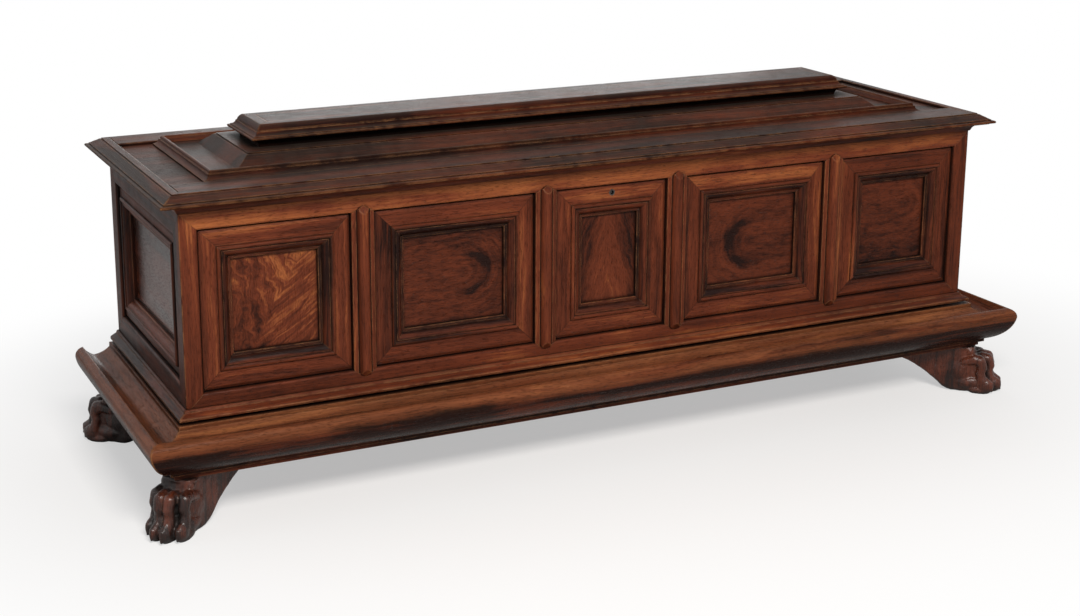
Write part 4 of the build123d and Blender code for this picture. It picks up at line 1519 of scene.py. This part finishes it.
def floor_finish():
    """Pale floor that the camera sees nearly white and that keeps the shadow."""
    f = Finish("studio_floor")
    seen = f.add("ShaderNodeLightPath", output="Is Camera Ray")
    matt = f.add("ShaderNodeBsdfDiffuse", inputs={"Color": FLOOR_COLOUR})
    lift = f.add("ShaderNodeEmission", inputs={"Color": (FLOOR_LIFT, FLOOR_LIFT, FLOOR_LIFT, 1.0)})
    near = f.add("ShaderNodeAddShader", inputs={0: matt, 1: lift})
    white = f.add("ShaderNodeEmission", inputs={"Color": WHITE})
    distance = (f.x * f.x * FADE_STRETCH + f.y * f.y) ** 0.5
    factor = distance.ramp(*FADE_RAMP) * (1.0 - SHADOW_FILL) + SHADOW_FILL
    shown = f.add("ShaderNodeMixShader", inputs={0: factor, 1: near, 2: white})
    whole = f.add("ShaderNodeMixShader", inputs={0: seen, 1: matt, 2: shown})
    f.add("ShaderNodeOutputMaterial", inputs={"Surface": whole})
    return f.material


class CASSONE_OT_stage(bpy.types.Operator):
    """Set the floor, the lamps and the camera"""

    bl_idname = "cassone.stage"
    bl_label = "Stage"

    def execute(self, context):
        scene = context.scene
        scene.view_settings.view_transform = "Standard"
        stage = settings().stage
        mesh = bpy.data.meshes.new("floor")
        turns = ((-1, -1), (1, -1), (1, 1), (-1, 1))
        corners = [(x * FLOOR_REACH, y * FLOOR_REACH, 0) for x, y in turns]
        mesh.from_pydata(corners, [], [(0, 1, 2, 3)])
        mesh.materials.append(floor_finish())
        floor = bpy.data.objects.new("floor", mesh)
        scene.collection.objects.link(floor)

        world = scene.world or bpy.data.worlds.new("studio")
        scene.world = world
        world.use_nodes = True
        sky = Tree(world.node_tree)
        world.node_tree.nodes.clear()
        rays = [
            sky.add("ShaderNodeLightPath", output=name)
            for name in ("Is Camera Ray", "Is Glossy Ray", "Is Transmission Ray")
        ]
        seen = (rays[0] + rays[1] + rays[2]).clamped()
        room = sky.add("ShaderNodeBackground", inputs={"Color": ROOM_COLOUR})
        white = sky.add("ShaderNodeBackground", inputs={"Color": WHITE})
        shown = sky.add("ShaderNodeMixShader", inputs={0: seen, 1: room, 2: white})
        sky.add("ShaderNodeOutputWorld", inputs={"Surface": shown})

        for row in LAMPS:
            add_lamp(*row)

        data = bpy.data.cameras.new("camera")
        data.sensor_width = SENSOR_WIDTH
        data.lens = stage.focal_pixels / FRAME_WIDTH * SENSOR_WIDTH
        data.shift_x = stage.shift_pixels[0] / FRAME_WIDTH
        data.shift_y = stage.shift_pixels[1] / FRAME_WIDTH
        camera = bpy.data.objects.new("camera", data)
        scene.collection.objects.link(camera)
        camera.location = stage.camera_place
        camera.rotation_euler = (pi / 2 - stage.camera_pitch, 0.0, -stage.camera_azimuth)
        scene.camera = camera
        return {"FINISHED"}


# ------------------------------------------------------------------------------ running


OPERATORS = (
    CASSONE_OT_stage,
    CASSONE_OT_plinth,
    CASSONE_OT_paws,
    CASSONE_OT_carcase,
    CASSONE_OT_front,
    CASSONE_OT_ends,
    CASSONE_OT_lid,
    CASSONE_OT_ironwork,
)


class CASSONE_PT_panel(bpy.types.Panel):
    """Lists the steps that dress the chest"""

    bl_idname = "CASSONE_PT_panel"
    bl_label = "Cassone"
    bl_space_type = "VIEW_3D"
    bl_region_type = "UI"
    bl_category = "Cassone"

    def draw(self, context):
        for operator in OPERATORS:
            self.layout.operator(operator.bl_idname)


CLASSES = (
    TimberSettings,
    PlinthSettings,
    PawSettings,
    LidSettings,
    IronworkSettings,
    StageSettings,
    CassoneSettings,
    *OPERATORS,
    CASSONE_PT_panel,
)


def register():
    for cls in CLASSES:
        bpy.utils.register_class(cls)
    bpy.types.Scene.cassone = PointerProperty(type=CassoneSettings)


def unregister():
    del bpy.types.Scene.cassone
    for cls in reversed(CLASSES):
        bpy.utils.unregister_class(cls)


def main():
    register()
    for operator in OPERATORS:
        group, name = operator.bl_idname.split(".")
        getattr(getattr(bpy.ops, group), name)()


if __name__ == "__main__":
    main()
